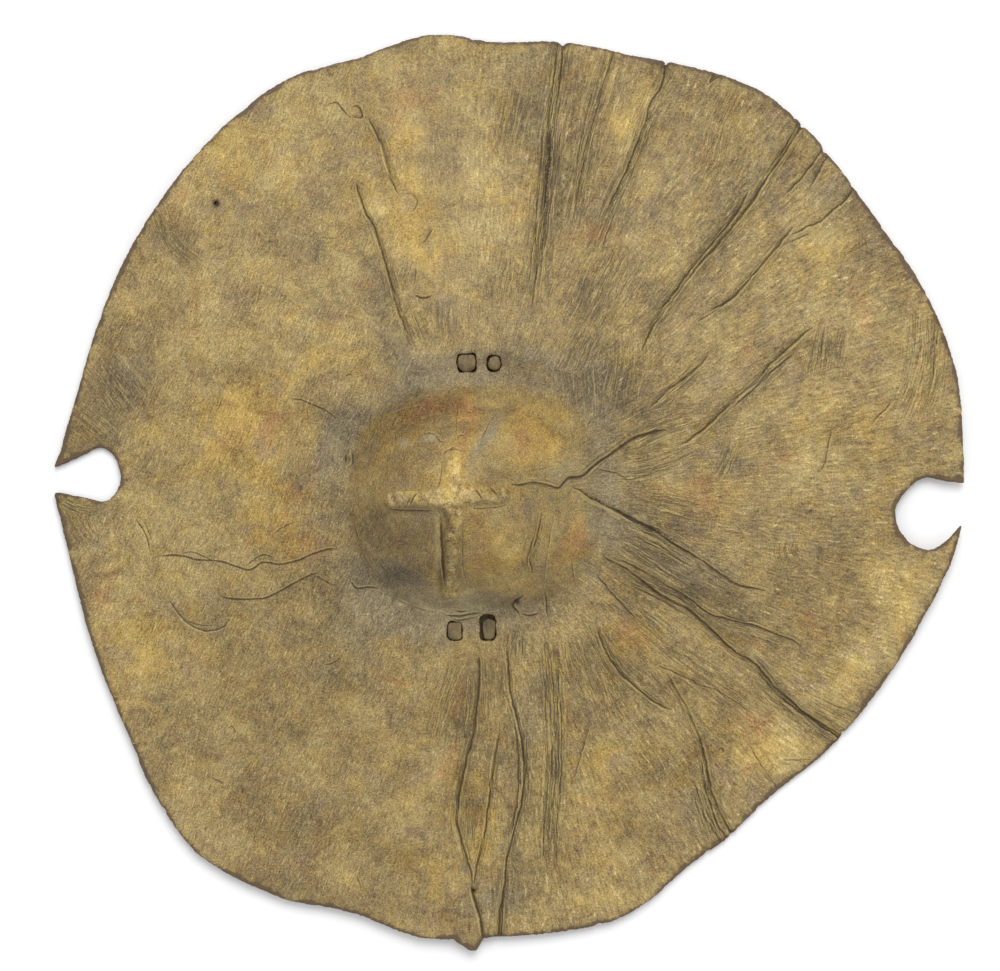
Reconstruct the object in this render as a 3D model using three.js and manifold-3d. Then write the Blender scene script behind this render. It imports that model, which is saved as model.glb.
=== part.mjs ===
// A round hide shield: one moulded disc of thick hide with a hollow boss, and a hide grip
// strapped across the hollow behind it. It lies face up, resting on the underside of its brim.
//
// Millimetres. +Z is up, towards the face of the shield. The origin is the middle of the
// shield's outline, on the surface that the brim rests on.

import * as THREE from 'three';
import { mergeVertices } from 'three/addons/utils/BufferGeometryUtils.js';
import Module from 'manifold-3d';

// ---- Driving dimensions, mm -------------------------------------------------------------

const GAP = 0.3;                        // space kept between the grip and the hide round it

const BOSS = { x: -20, y: -3 };         // centre of the boss's foot, and of the polar outline
const APEX = { x: -33, y: -1 };         // top of the boss, where the four ridges cross
const BOSS_RISE = 64;                   // height of the boss above the brim at its foot
const FOOT_HEIGHT = 37;                 // height of the brim's face at the boss's foot
const RIM_HEIGHT = 1.7;                 // mean height that its face falls to near the rim
const MOAT_DEPTH = 2.5;                 // shallow ring pressed in round the foot
const RIM_CURL = 6;                     // how far the outermost brim turns up
const BOSS_THICKNESS = 5.5;             // thickness of the hide in the boss
const RIM_THICKNESS = 4;                // and at the rim
const EDGE_ROUNDING = 1.2;              // how far the cut edge is rounded over

// The hand-cut outline: angle in degrees and radius from the boss's centre, where it turns.
const OUTLINE = [
  [5, 301], [15, 305.5], [25, 303.5], [35, 300], [43, 302], [47, 304.5], [55, 305],
  [61, 299], [70, 289], [79, 285], [88, 280.5], [95, 286], [105, 280], [114, 282],
  [125, 275], [136, 267], [150, 258.5], [164, 253.5], [173, 257], [177, 261.2],
  [185, 255], [191, 252.5], [202, 253], [214, 259], [222, 268.5], [231, 278],
  [237, 277.5], [245, 273.5], [253, 267], [263, 273], [274, 271], [285, 274],
  [291, 272.5], [300, 262.5], [306, 261], [314, 258.5], [324, 266.5], [334, 274.5],
  [345, 285.5], [356, 299],
];

// A torn tab that hangs below the bottom of the rim, steep on its right side.
const TEAR_TAB = { from: 267, tip: 269.8, to: 270.9, length: 9 };

// Two keyhole notches cut in from the sides: the curve of each, from its upper lip round the
// back to its lower lip. Both run on past the rim.
const NOTCHES = [
  [[-300, 9], [-278, 15.5], [-266, 21], [-252, 27], [-243, 22.5], [-239.5, 13], [-239.5, 5],
    [-243.5, -2.5], [-250, -6], [-260, -4], [-277, -0.5], [-300, 1]],
  [[300, 3], [279, 5.5], [267, 7], [256, 8.8], [247.5, 3.5], [239.5, -7], [238.5, -18],
    [243, -27.5], [251, -33.8], [260.5, -35.3], [270, -29.5], [278.5, -20], [300, -3]],
];

// The four ridges of the cross on the boss: end point, half width and height of each arm.
const RIDGES = [
  { end: [-69, -4], halfWidth: 7.5, height: 4.5 },
  { end: [-5, -2], halfWidth: 7.5, height: 4 },
  { end: [-32, 20], halfWidth: 7, height: 3.5 },
  { end: [-32, -62], halfWidth: 6.5, height: 5 },
];

// Soft swellings and hollows in the boss's four quarters: centre, radius and height.
const SWELLINGS = [
  { at: [10, 38], radius: 24, height: 5 },
  { at: [-58, 30], radius: 20, height: 2 },
  { at: [-24, 46], radius: 12, height: 4 },
  { at: [-9, -36], radius: 20, height: 4 },
  { at: [-61, -33], radius: 19, height: -6 },
];

// Broad folds in the brim, each a soft groove from near the boss towards the rim.
const FOLDS = [
  { from: [84, 92], to: [186, 222], halfWidth: 13, depth: 2.4 },
  { from: [84, 44], to: [160, 104], halfWidth: 13, depth: 1.8 },
  { from: [64, -40], to: [216, -150], halfWidth: 12, depth: 2.8 },
  { from: [52, -70], to: [140, -208], halfWidth: 13, depth: 2.2 },
  { from: [-20, -100], to: [-22, -262], halfWidth: 11, depth: 2.4 },
  { from: [-56, 80], to: [-92, 190], halfWidth: 12, depth: 1.8 },
];

// The four slots that the grip's tabs come out of: centre and size across and along.
const SLOTS = [
  { x: -25.5, y: 78.6, width: 11.8, length: 11.6 },
  { x: -8.8, y: 78.4, width: 8.6, length: 9.6 },
  { x: -32.8, y: -84.6, width: 9, length: 11.4 },
  { x: -12.6, y: -82.4, width: 9.8, length: 15.8 },
];
const SLOT_CORNER = 3;                  // radius of a slot's corners
const TAB_PROUD = 0.8;                  // how far a tab's end stands above the face

const NAIL_HOLE = { x: -179.8, y: 177.5, radius: 1.3 };

const GRIP = {
  back: 9,                              // height of its flat back over the resting surface
  flatLength: 62,                       // straight stretch in the middle
  width: 27,                            // across the hand
  thickness: 7,
  rise: 44,                             // length over which each end turns up to the brim
  endWidth: 33,                         // width and thickness where it lies against the brim
  endThickness: 4,
  topEnd: [-16.5, 87],
  bottomEnd: [-21.5, -93],
};

const HIDE_COLOR = 0x9b8860;
const GRIP_COLOR = 0x6f5f42;

// ---- Small helpers ----------------------------------------------------------------------

const DEG = Math.PI / 180;

const clamp01 = (value) => Math.min(1, Math.max(0, value));

function smooth(value) {
  const t = clamp01(value);
  return t * t * (3 - 2 * t);
}

const bell = (distance, width) => Math.exp(-((distance / width) ** 2));

// Distance from (x, y) to the segment a-b, and how far along it the nearest point lies, 0 to 1.
function nearest(x, y, a, b) {
  const dx = b[0] - a[0];
  const dy = b[1] - a[1];
  const along = clamp01(((x - a[0]) * dx + (y - a[1]) * dy) / (dx * dx + dy * dy));
  return { distance: Math.hypot(x - a[0] - along * dx, y - a[1] - along * dy), along };
}

// ---- The form of the hide ---------------------------------------------------------------

// A closed cubic through the outline's turning points.
function outlineRadius(angle) {
  const degrees = ((angle / DEG % 360) + 360) % 360;
  const count = OUTLINE.length;
  const at = (i) => {
    const turn = Math.floor(i / count);
    const [a, r] = OUTLINE[i - turn * count];
    return [a + 360 * turn, r];
  };
  let i = -1;
  while (at(i + 1)[0] <= degrees) i += 1;
  const [before, start, end, after] = [at(i - 1), at(i), at(i + 1), at(i + 2)];
  const span = end[0] - start[0];
  const startSlope = (end[1] - before[1]) / (end[0] - before[0]) * span;
  const endSlope = (after[1] - start[1]) / (after[0] - start[0]) * span;
  const t = (degrees - start[0]) / span;
  const radius = start[1] * (2 * t ** 3 - 3 * t ** 2 + 1) + startSlope * (t ** 3 - 2 * t ** 2 + t)
    + end[1] * (3 * t ** 2 - 2 * t ** 3) + endSlope * (t ** 3 - t ** 2);
  return radius + tearTab(degrees);
}

function tearTab(degrees) {
  const rise = (degrees - TEAR_TAB.from) / (TEAR_TAB.tip - TEAR_TAB.from);
  const fall = (TEAR_TAB.to - degrees) / (TEAR_TAB.to - TEAR_TAB.tip);
  return TEAR_TAB.length * clamp01(Math.min(rise, fall));
}

// The boss's foot is a rounded square, a little wider than it is high.
const footRadius = (angle) => 76 + 5 * Math.cos(2 * angle) - 3 * Math.cos(4 * angle);

// 0 at the apex and 1 at the foot. Its level lines slide from the apex to the boss's centre.
function bossRatio(x, y) {
  let ratio = 1;
  for (let i = 0; i < 8; i += 1) {
    const lean = Math.max(0, 1 - ratio);
    const dx = x - BOSS.x - (APEX.x - BOSS.x) * lean;
    const dy = y - BOSS.y - (APEX.y - BOSS.y) * lean;
    ratio = Math.hypot(dx, dy) / footRadius(Math.atan2(dy, dx));
  }
  return ratio;
}

// 0 at the boss's foot and 1 at the rim.
function brimRatio(x, y) {
  const angle = Math.atan2(y - BOSS.y, x - BOSS.x);
  const foot = footRadius(angle);
  const radius = Math.hypot(x - BOSS.x, y - BOSS.y);
  return (radius - foot) / (outlineRadius(angle) - foot);
}

// The brim is a shallow cone that curls up at its edge and waves slowly round the rim.
function brimHeight(x, y) {
  const t = clamp01(brimRatio(x, y));
  const angle = Math.atan2(y - BOSS.y, x - BOSS.x);
  const cone = RIM_HEIGHT + (FOOT_HEIGHT - RIM_HEIGHT) * (1 - t) ** 1.25;
  const curl = RIM_CURL * smooth((t - 0.8) / 0.26);
  const wave = 1.6 * Math.cos(3 * angle - 0.5) + 1.1 * Math.cos(5 * angle + 0.9);
  return cone + curl + wave * smooth((t - 0.15) / 0.7);
}

// The dome's flank falls steadily from a rounded top and runs out softly into the brim.
function domeHeight(x, y) {
  const ratio = bossRatio(x, y);
  const dome = ratio < 1 ? BOSS_RISE * (1 - ratio ** 1.85) ** 1.15 : 0;
  return dome - MOAT_DEPTH * bell(ratio - 1.1, 0.13);
}

// Folds press the whole thickness of the hide down.
function foldDepth(x, y) {
  let depth = 0;
  for (const fold of FOLDS) {
    const { distance, along } = nearest(x, y, fold.from, fold.to);
    depth += fold.depth * bell(distance, fold.halfWidth) * smooth(4 * along) * smooth(4 - 4 * along);
  }
  return depth;
}

function swelling(x, y) {
  let height = 0;
  for (const { at, radius, height: rise } of SWELLINGS) {
    height += rise * bell(Math.hypot(x - at[0], y - at[1]), radius);
  }
  return height;
}

// The lowest stretches of the brim lie flat on the surface.
function smoothFace(x, y) {
  const free = brimHeight(x, y) + domeHeight(x, y) + swelling(x, y) - foldDepth(x, y);
  return Math.max(RIM_THICKNESS, free);
}

// The cross stands on the face only, where the hide is thicker.
function faceHeight(x, y) {
  let cross = 0;
  for (const ridge of RIDGES) {
    const { distance } = nearest(x, y, [APEX.x, APEX.y], ridge.end);
    cross = Math.max(cross, ridge.height * smooth(1.5 - distance / ridge.halfWidth));
  }
  return smoothFace(x, y) + cross;
}

// The back follows the smooth face at the hide's thickness, measured square to the surface.
function backHeight(x, y) {
  const step = 1;
  const slopeX = (smoothFace(x + step, y) - smoothFace(x - step, y)) / (2 * step);
  const slopeY = (smoothFace(x, y + step) - smoothFace(x, y - step)) / (2 * step);
  const toRim = clamp01(brimRatio(x, y));
  const thickness = BOSS_THICKNESS + (RIM_THICKNESS - BOSS_THICKNESS) * toRim;
  return Math.max(0, smoothFace(x, y) - thickness * Math.hypot(1, slopeX, slopeY));
}

// ---- Meshing ----------------------------------------------------------------------------

// Rings from the apex outwards. Each has a number of spokes, and a place for each angle.
const bossRing = (ratio, spokes) => ({
  spokes,
  place: (angle) => {
    const x = BOSS.x + (APEX.x - BOSS.x) * (1 - ratio);
    const y = BOSS.y + (APEX.y - BOSS.y) * (1 - ratio);
    const radius = footRadius(angle) * ratio;
    return [x + radius * Math.cos(angle), y + radius * Math.sin(angle)];
  },
});

const brimRing = (ratio, spokes, inset = 0) => ({
  spokes,
  place: (angle) => {
    const foot = footRadius(angle);
    const radius = foot + (outlineRadius(angle) - foot) * ratio - inset;
    return [BOSS.x + radius * Math.cos(angle), BOSS.y + radius * Math.sin(angle)];
  },
});

// One skin of the hide: its rings on the boss, then on the brim, up to the rim.
function skinRings(bossSteps, brimSteps, spokes) {
  const rings = [];
  for (let i = 1; i <= bossSteps; i += 1) {
    const ratio = i / bossSteps;
    rings.push(bossRing(ratio, ratio < 0.35 ? spokes / 4 : spokes / 2));
  }
  for (let i = 1; i < brimSteps; i += 1) {
    rings.push(brimRing(i / brimSteps, i === 1 ? spokes / 2 : spokes));
  }
  return rings;
}

// Builds vertices and triangles; a ring has as many spokes as the one inside it, or twice.
class Skin {
  constructor() {
    this.positions = [];
    this.triangles = [];
  }

  add(x, y, z) {
    this.positions.push(x, y, z);
    return this.positions.length / 3 - 1;
  }

  ring({ spokes, place }, height) {
    const indices = [];
    for (let i = 0; i < spokes; i += 1) {
      const [x, y] = place(2 * Math.PI * i / spokes);
      indices.push(this.add(x, y, height(x, y)));
    }
    return indices;
  }

  face(a, b, c, up) {
    this.triangles.push(...(up ? [a, b, c] : [a, c, b]));
  }

  fan(centre, ring, up) {
    ring.forEach((vertex, i) => {
      this.face(centre, vertex, ring[(i + 1) % ring.length], up);
    });
  }

  join(inner, outer, up) {
    const ratio = outer.length / inner.length;
    inner.forEach((start, i) => {
      const end = inner[(i + 1) % inner.length];
      const first = outer[i * ratio];
      const last = outer[((i + 1) * ratio) % outer.length];
      if (ratio === 1) {
        this.face(start, first, last, up);
        this.face(start, last, end, up);
        return;
      }
      const middle = outer[i * ratio + 1];
      this.face(start, first, middle, up);
      this.face(start, middle, end, up);
      this.face(end, middle, last, up);
    });
  }

  geometry() {
    const geometry = new THREE.BufferGeometry();
    geometry.setAttribute('position', new THREE.Float32BufferAttribute(this.positions, 3));
    geometry.setIndex(this.triangles);
    return geometry;
  }
}

function hideGeometry() {
  const spokes = 128;
  const skin = new Skin();

  const layer = (bossSteps, brimSteps, height, up) => {
    const centre = skin.add(APEX.x, APEX.y, height(APEX.x, APEX.y));
    const rings = skinRings(bossSteps, brimSteps, spokes).map((ring) => skin.ring(ring, height));
    rings.push(skin.ring(brimRing(1, spokes, EDGE_ROUNDING), height));
    skin.fan(centre, rings[0], up);
    for (let i = 1; i < rings.length; i += 1) skin.join(rings[i - 1], rings[i], up);
    return rings[rings.length - 1];
  };

  const faceEdge = layer(16, 14, faceHeight, true);
  const backEdge = layer(8, 8, backHeight, false);
  const middle = (x, y) => backHeight(x, y) + RIM_THICKNESS * 0.55;
  const rim = skin.ring(brimRing(1, spokes), middle);
  skin.join(faceEdge, rim, true);
  skin.join(backEdge, rim, false);
  return skin.geometry();
}

// An upright prism of a closed outline, from z = bottom to z = top.
function prism(shape, bottom, top) {
  const geometry = new THREE.ExtrudeGeometry(shape, {
    depth: top - bottom, bevelEnabled: false, curveSegments: 3,
  });
  return geometry.translate(0, 0, bottom);
}

function notchShape(points) {
  const curve = new THREE.SplineCurve(points.slice(1, -1).map(([x, y]) => new THREE.Vector2(x, y)));
  const outer = [points[points.length - 1], points[0]].map(([x, y]) => new THREE.Vector2(x, y));
  return new THREE.Shape([...curve.getPoints(18), ...outer]);
}

// A rounded rectangle, shrunk on every side by inset.
function slotShape({ x, y, width, length }, inset) {
  const w = width / 2 - inset;
  const l = length / 2 - inset;
  const r = SLOT_CORNER - inset;
  return new THREE.Shape()
    .moveTo(x - w + r, y - l)
    .lineTo(x + w - r, y - l)
    .quadraticCurveTo(x + w, y - l, x + w, y - l + r)
    .lineTo(x + w, y + l - r)
    .quadraticCurveTo(x + w, y + l, x + w - r, y + l)
    .lineTo(x - w + r, y + l)
    .quadraticCurveTo(x - w, y + l, x - w, y + l - r)
    .lineTo(x - w, y - l + r)
    .quadraticCurveTo(x - w, y - l, x - w + r, y - l);
}

// ---- The grip ---------------------------------------------------------------------------

// The strap lies against the back of the brim at its ends and hangs clear of the hollow
// between them. Along it, from the bottom end to the top end:
function gripStation(y) {
  const [bottomX, bottomY] = GRIP.bottomEnd;
  const [topX, topY] = GRIP.topEnd;
  const x = bottomX + (topX - bottomX) * (y - bottomY) / (topY - bottomY);
  const toEnd = smooth((Math.abs(y - BOSS.y) - GRIP.flatLength / 2) / GRIP.rise);
  const width = GRIP.width + (GRIP.endWidth - GRIP.width) * toEnd;
  const thickness = GRIP.thickness + (GRIP.endThickness - GRIP.thickness) * toEnd;
  const middle = GRIP.back + thickness;
  if (toEnd === 0) return { x, width, bottom: GRIP.back, top: middle };
  const under = Math.min(...[-1, -0.5, 0, 0.5, 1].map((side) => backHeight(x + side * width / 2, y)));
  const highest = 29;
  const clearance = 0.8;
  const top = middle + (Math.min(under, highest) - clearance - middle) * toEnd;
  return { x, width, bottom: top - thickness, top };
}

// The strap's section: a flat back and edges rounded over towards its front.
const GRIP_SECTION = [
  [-0.5, 0.35], [-0.42, 0], [0.42, 0], [0.5, 0.35], [0.46, 0.75], [0.3, 1], [-0.3, 1], [-0.46, 0.75],
];

function strapGeometry() {
  const stations = 24;
  const [, bottomY] = GRIP.bottomEnd;
  const [, topY] = GRIP.topEnd;
  const skin = new Skin();
  const rows = [];
  for (let i = 0; i <= stations; i += 1) {
    const y = bottomY + (topY - bottomY) * i / stations;
    const { x, width, bottom, top } = gripStation(y);
    rows.push(GRIP_SECTION.map(([across, up]) => (
      skin.add(x + across * width, y, bottom + up * (top - bottom)))));
  }
  for (let i = 0; i < stations; i += 1) skin.join(rows[i], rows[i + 1], true);
  const cap = (row, y, up) => {
    const { x, bottom, top } = gripStation(y);
    skin.fan(skin.add(x, y, (bottom + top) / 2), row, up);
  };
  cap(rows[0], bottomY, true);
  cap(rows[stations], topY, false);
  return skin.geometry();
}

// ---- Solids -----------------------------------------------------------------------------

const wasm = await Module();
wasm.setup();

function toSolid(geometry) {
  const plain = geometry.clone();
  plain.deleteAttribute('normal');
  plain.deleteAttribute('uv');
  const merged = mergeVertices(plain, 1e-4);
  return new wasm.Manifold(new wasm.Mesh({
    numProp: 3,
    vertProperties: new Float32Array(merged.attributes.position.array),
    triVerts: new Uint32Array(merged.index.array),
  }));
}

function toGeometry(solid) {
  const { vertProperties, triVerts } = solid.getMesh();
  const geometry = new THREE.BufferGeometry();
  geometry.setAttribute('position', new THREE.BufferAttribute(vertProperties, 3));
  geometry.setIndex(new THREE.BufferAttribute(triVerts, 1));
  geometry.computeVertexNormals();
  return geometry;
}

function hideSolid() {
  const below = -5;
  const above = 150;
  let solid = toSolid(hideGeometry());
  for (const points of NOTCHES) {
    solid = solid.subtract(toSolid(prism(notchShape(points), below, above)));
  }
  for (const slot of SLOTS) {
    solid = solid.subtract(toSolid(prism(slotShape(slot, 0), below, above)));
  }
  const { x, y, radius } = NAIL_HOLE;
  const hole = new THREE.Shape().absarc(x, y, radius, 0, 2 * Math.PI);
  return solid.subtract(toSolid(prism(hole, below, above)));
}

function gripSolid() {
  let solid = toSolid(strapGeometry());
  for (const slot of SLOTS) {
    const { bottom } = gripStation(slot.y);
    const tab = prism(slotShape(slot, GAP), bottom + 1, faceHeight(slot.x, slot.y) + TAB_PROUD);
    solid = solid.add(toSolid(tab));
  }
  return solid;
}

function part(name, solid, color, roughness) {
  const material = new THREE.MeshStandardMaterial({ color, roughness, metalness: 0 });
  const mesh = new THREE.Mesh(toGeometry(solid), material);
  mesh.name = name;
  return mesh;
}

const shield = new THREE.Group();
shield.add(part('hide_body', hideSolid(), HIDE_COLOR, 0.6));
shield.add(part('hide_grip', gripSolid(), GRIP_COLOR, 0.75));

export default shield;
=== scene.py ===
"""The look of a round hide shield that lies face up: moulded hide, its creases, scars and worn
colour, and the hide grip behind it. Forms are worked out in millimetres in the frame's axes."""

import math
from types import SimpleNamespace

import bpy
import numpy as np
from mathutils.geometry import delaunay_2d_cdt
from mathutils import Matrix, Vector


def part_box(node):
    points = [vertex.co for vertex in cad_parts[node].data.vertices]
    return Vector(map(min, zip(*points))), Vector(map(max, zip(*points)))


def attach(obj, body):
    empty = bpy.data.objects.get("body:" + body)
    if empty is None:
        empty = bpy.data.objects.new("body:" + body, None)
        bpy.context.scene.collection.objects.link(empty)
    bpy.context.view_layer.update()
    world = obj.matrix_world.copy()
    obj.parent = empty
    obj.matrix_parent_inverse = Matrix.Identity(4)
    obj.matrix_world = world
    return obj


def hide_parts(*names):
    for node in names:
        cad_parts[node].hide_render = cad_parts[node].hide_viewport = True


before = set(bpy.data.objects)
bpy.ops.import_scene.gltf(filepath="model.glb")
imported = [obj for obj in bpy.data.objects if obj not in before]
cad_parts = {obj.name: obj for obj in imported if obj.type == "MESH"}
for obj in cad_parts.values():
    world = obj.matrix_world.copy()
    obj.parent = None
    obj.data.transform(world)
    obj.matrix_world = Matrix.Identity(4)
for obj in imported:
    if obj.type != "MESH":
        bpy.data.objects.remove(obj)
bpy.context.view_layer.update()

MM = 0.001
SEED = 20

# ---- Sizes of the hide, mm, as in the CAD part -----------------------------------------

BOSS = np.array([-20.0, -3.0])          # centre of the boss's foot and of the polar outline
APEX = np.array([-33.0, -1.0])          # top of the boss
BOSS_RISE = 64
FOOT_HEIGHT = 37
RIM_HEIGHT = 1.7
MOAT_DEPTH = 2.5
RIM_CURL = 6
BOSS_THICKNESS = 5.5
RIM_THICKNESS = 4

OUTLINE = np.array([
    [5, 301], [15, 305.5], [25, 303.5], [35, 300], [43, 302], [47, 304.5], [55, 305],
    [61, 299], [70, 289], [79, 285], [88, 280.5], [95, 286], [105, 280], [114, 282],
    [125, 275], [136, 267], [150, 258.5], [164, 253.5], [173, 257], [177, 261.2],
    [185, 255], [191, 252.5], [202, 253], [214, 259], [222, 268.5], [231, 278],
    [237, 277.5], [245, 273.5], [253, 267], [263, 273], [274, 271], [285, 274],
    [291, 272.5], [300, 262.5], [306, 261], [314, 258.5], [324, 266.5], [334, 274.5],
    [345, 285.5], [356, 299],
])
TEAR_TAB = {"start": 267, "tip": 269.8, "end": 270.9, "length": 9}

NOTCHES = [
    [(-300, 9), (-278, 15.5), (-266, 21), (-252, 27), (-243, 22.5), (-239.5, 13), (-239.5, 5),
     (-243.5, -2.5), (-250, -6), (-260, -4), (-277, -0.5), (-300, 1)],
    [(300, 3), (279, 5.5), (267, 7), (256, 8.8), (247.5, 3.5), (239.5, -7), (238.5, -18),
     (243, -27.5), (251, -33.8), (260.5, -35.3), (270, -29.5), (278.5, -20), (300, -3)],
]

FOLDS = [                               # from, to, half width, depth
    ((84, 92), (186, 222), 13, 2.4),
    ((84, 44), (160, 104), 13, 1.8),
    ((64, -40), (216, -150), 12, 2.8),
    ((52, -70), (140, -208), 13, 2.2),
    ((-20, -100), (-22, -262), 11, 2.4),
    ((-56, 80), (-92, 190), 12, 1.8),
]
SWELLINGS = [                           # centre, radius, height
    ((10, 38), 24, 5),
    ((-58, 30), 20, 2),
    ((-24, 46), 12, 4),
    ((-9, -36), 20, 4),
    ((-61, -33), 19, -6),
]
# The arms of the raised cross, each from the apex of the boss, and the short wide hub there.
RIDGES = [                              # end of the arm, half width, height, softness
    ((-71, -4.5), 5.2, 4.5, 2.6),
    ((-34, 0), 8.5, 4.5, 3.0),
    ((-4, -1.5), 4.8, 4.0, 3.0),
    ((-32.5, 19), 4.8, 3.5, 3.0),
    ((-34, -62), 4.2, 4.6, 2.6),
]
SLOTS = {                               # centre x, centre y, width, length
    "top_left": (-25.5, 78.6, 11.8, 11.6),
    "top_right": (-8.8, 78.4, 8.6, 9.6),
    "bottom_left": (-32.8, -84.6, 9.0, 11.4),
    "bottom_right": (-12.6, -82.4, 9.8, 15.8),
}
NAIL_HOLE = (-179.8, 177.5, 1.3)

# ---- Small helpers -----------------------------------------------------------------------


def smooth(value):
    t = np.clip(value, 0, 1)
    return t * t * (3 - 2 * t)


def bell(distance, width):
    return np.exp(-(distance / width) ** 2)


def value_noise(x, y, cell, seed):
    """A smooth random field from -1 to 1, with features about cell mm across."""
    size = 256
    lattice = np.random.default_rng(SEED + seed).uniform(-1, 1, (size, size))
    u = np.asarray(x) / cell
    v = np.asarray(y) / cell
    i = np.floor(u).astype(int)
    j = np.floor(v).astype(int)
    fu = smooth(u - i)
    fv = smooth(v - j)
    low = lattice[i % size, j % size] * (1 - fu) + lattice[(i + 1) % size, j % size] * fu
    high = lattice[i % size, (j + 1) % size] * (1 - fu) + lattice[(i + 1) % size, (j + 1) % size] * fu
    return low * (1 - fv) + high * fv


def catmull_rom(points, steps):
    """A smooth open curve through the points, with so many steps between each two."""
    p = np.asarray(points, float)
    p = np.vstack([2 * p[0] - p[1], p, 2 * p[-1] - p[-2]])
    t = np.linspace(0, 1, steps, endpoint=False)[:, None]
    rows = []
    for a, b, c, d in zip(p[:-3], p[1:-2], p[2:-1], p[3:]):
        rows.append(0.5 * (2 * b + (c - a) * t + (2 * a - 5 * b + 4 * c - d) * t ** 2
                           + (3 * b - a - 3 * c + d) * t ** 3))
    return np.vstack(rows + [p[-2:-1]])


def to_segment(x, y, a, b):
    """Signed distance to the line a-b, positive on its left, and the place along it, 0 to 1."""
    dx, dy = b[0] - a[0], b[1] - a[1]
    along = np.clip(((x - a[0]) * dx + (y - a[1]) * dy) / (dx * dx + dy * dy), 0, 1)
    off_x = x - a[0] - along * dx
    off_y = y - a[1] - along * dy
    side = np.where(dx * off_y - dy * off_x >= 0, 1.0, -1.0)
    return np.hypot(off_x, off_y) * side, along


def to_path(x, y, path):
    """Signed distance to a polyline, and how far along its length the nearest point is."""
    lengths = np.hypot(*np.diff(path, axis=0).T)
    starts = np.concatenate([[0], np.cumsum(lengths)])
    best = np.full(x.shape, 1e9)
    place = np.zeros(x.shape)
    for k, length in enumerate(lengths):
        if length < 1e-9:
            continue
        distance, along = to_segment(x, y, path[k], path[k + 1])
        nearer = np.abs(distance) < np.abs(best)
        best = np.where(nearer, distance, best)
        place = np.where(nearer, starts[k] + along * length, place)
    return best, place, starts[-1]


# ---- The form of the hide, as in the CAD part ---------------------------------------------


def outline_radius(angle):
    table = np.vstack([OUTLINE[-2:] - [360, 0], OUTLINE, OUTLINE[:2] + [360, 0]])
    degrees = np.degrees(angle) % 360
    i = np.searchsorted(table[:, 0], degrees, side="right") - 1
    before, start, end, after = table[i - 1], table[i], table[i + 1], table[i + 2]
    span = end[..., 0] - start[..., 0]
    start_slope = (end[..., 1] - before[..., 1]) / (end[..., 0] - before[..., 0]) * span
    end_slope = (after[..., 1] - start[..., 1]) / (after[..., 0] - start[..., 0]) * span
    t = (degrees - start[..., 0]) / span
    radius = (start[..., 1] * (2 * t ** 3 - 3 * t ** 2 + 1) + start_slope * (t ** 3 - 2 * t ** 2 + t)
              + end[..., 1] * (3 * t ** 2 - 2 * t ** 3) + end_slope * (t ** 3 - t ** 2))
    rise = (degrees - TEAR_TAB["start"]) / (TEAR_TAB["tip"] - TEAR_TAB["start"])
    fall = (TEAR_TAB["end"] - degrees) / (TEAR_TAB["end"] - TEAR_TAB["tip"])
    return radius + TEAR_TAB["length"] * np.clip(np.minimum(rise, fall), 0, 1)


def foot_radius(angle):
    return 76 + 5 * np.cos(2 * angle) - 3 * np.cos(4 * angle)


def boss_ratio(x, y):
    """0 at the apex and 1 at the foot of the boss."""
    ratio = np.ones_like(x)
    for _ in range(8):
        lean = np.maximum(0, 1 - ratio)
        dx = x - BOSS[0] - (APEX[0] - BOSS[0]) * lean
        dy = y - BOSS[1] - (APEX[1] - BOSS[1]) * lean
        ratio = np.hypot(dx, dy) / foot_radius(np.arctan2(dy, dx))
    return ratio


def brim_ratio(x, y):
    """0 at the foot of the boss and 1 at the rim."""
    angle = np.arctan2(y - BOSS[1], x - BOSS[0])
    foot = foot_radius(angle)
    return (np.hypot(x - BOSS[0], y - BOSS[1]) - foot) / (outline_radius(angle) - foot)


def brim_height(x, y):
    t = np.clip(brim_ratio(x, y), 0, 1)
    angle = np.arctan2(y - BOSS[1], x - BOSS[0])
    cone = RIM_HEIGHT + (FOOT_HEIGHT - RIM_HEIGHT) * (1 - t) ** 1.25
    curl = RIM_CURL * smooth((t - 0.8) / 0.26)
    wave = 1.6 * np.cos(3 * angle - 0.5) + 1.1 * np.cos(5 * angle + 0.9)
    return cone + curl + wave * smooth((t - 0.15) / 0.7)


def dome_height(x, y):
    ratio = boss_ratio(x, y)
    dome = BOSS_RISE * (1 - np.minimum(ratio, 1) ** 1.85) ** 1.15
    return dome - MOAT_DEPTH * bell(ratio - 1.1, 0.13)


def fold_depth(x, y):
    depth = np.zeros_like(x)
    for start, end, half_width, deep in FOLDS:
        distance, along = to_segment(x, y, start, end)
        depth += deep * bell(distance, half_width) * smooth(4 * along) * smooth(4 - 4 * along)
    return depth


def swelling_height(x, y):
    height = np.zeros_like(x)
    for (cx, cy), radius, rise in SWELLINGS:
        height += rise * bell(np.hypot(x - cx, y - cy), radius)
    return height


def smooth_face(x, y):
    free = brim_height(x, y) + dome_height(x, y) + swelling_height(x, y) - fold_depth(x, y)
    return np.maximum(RIM_THICKNESS, free)


def back_height(x, y):
    step = 1.0
    slope_x = (smooth_face(x + step, y) - smooth_face(x - step, y)) / (2 * step)
    slope_y = (smooth_face(x, y + step) - smooth_face(x, y - step)) / (2 * step)
    thickness = BOSS_THICKNESS + (RIM_THICKNESS - BOSS_THICKNESS) * np.clip(brim_ratio(x, y), 0, 1)
    drop = thickness * np.sqrt(1 + slope_x ** 2 + slope_y ** 2)
    return np.maximum(0, smooth_face(x, y) - drop)


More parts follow.
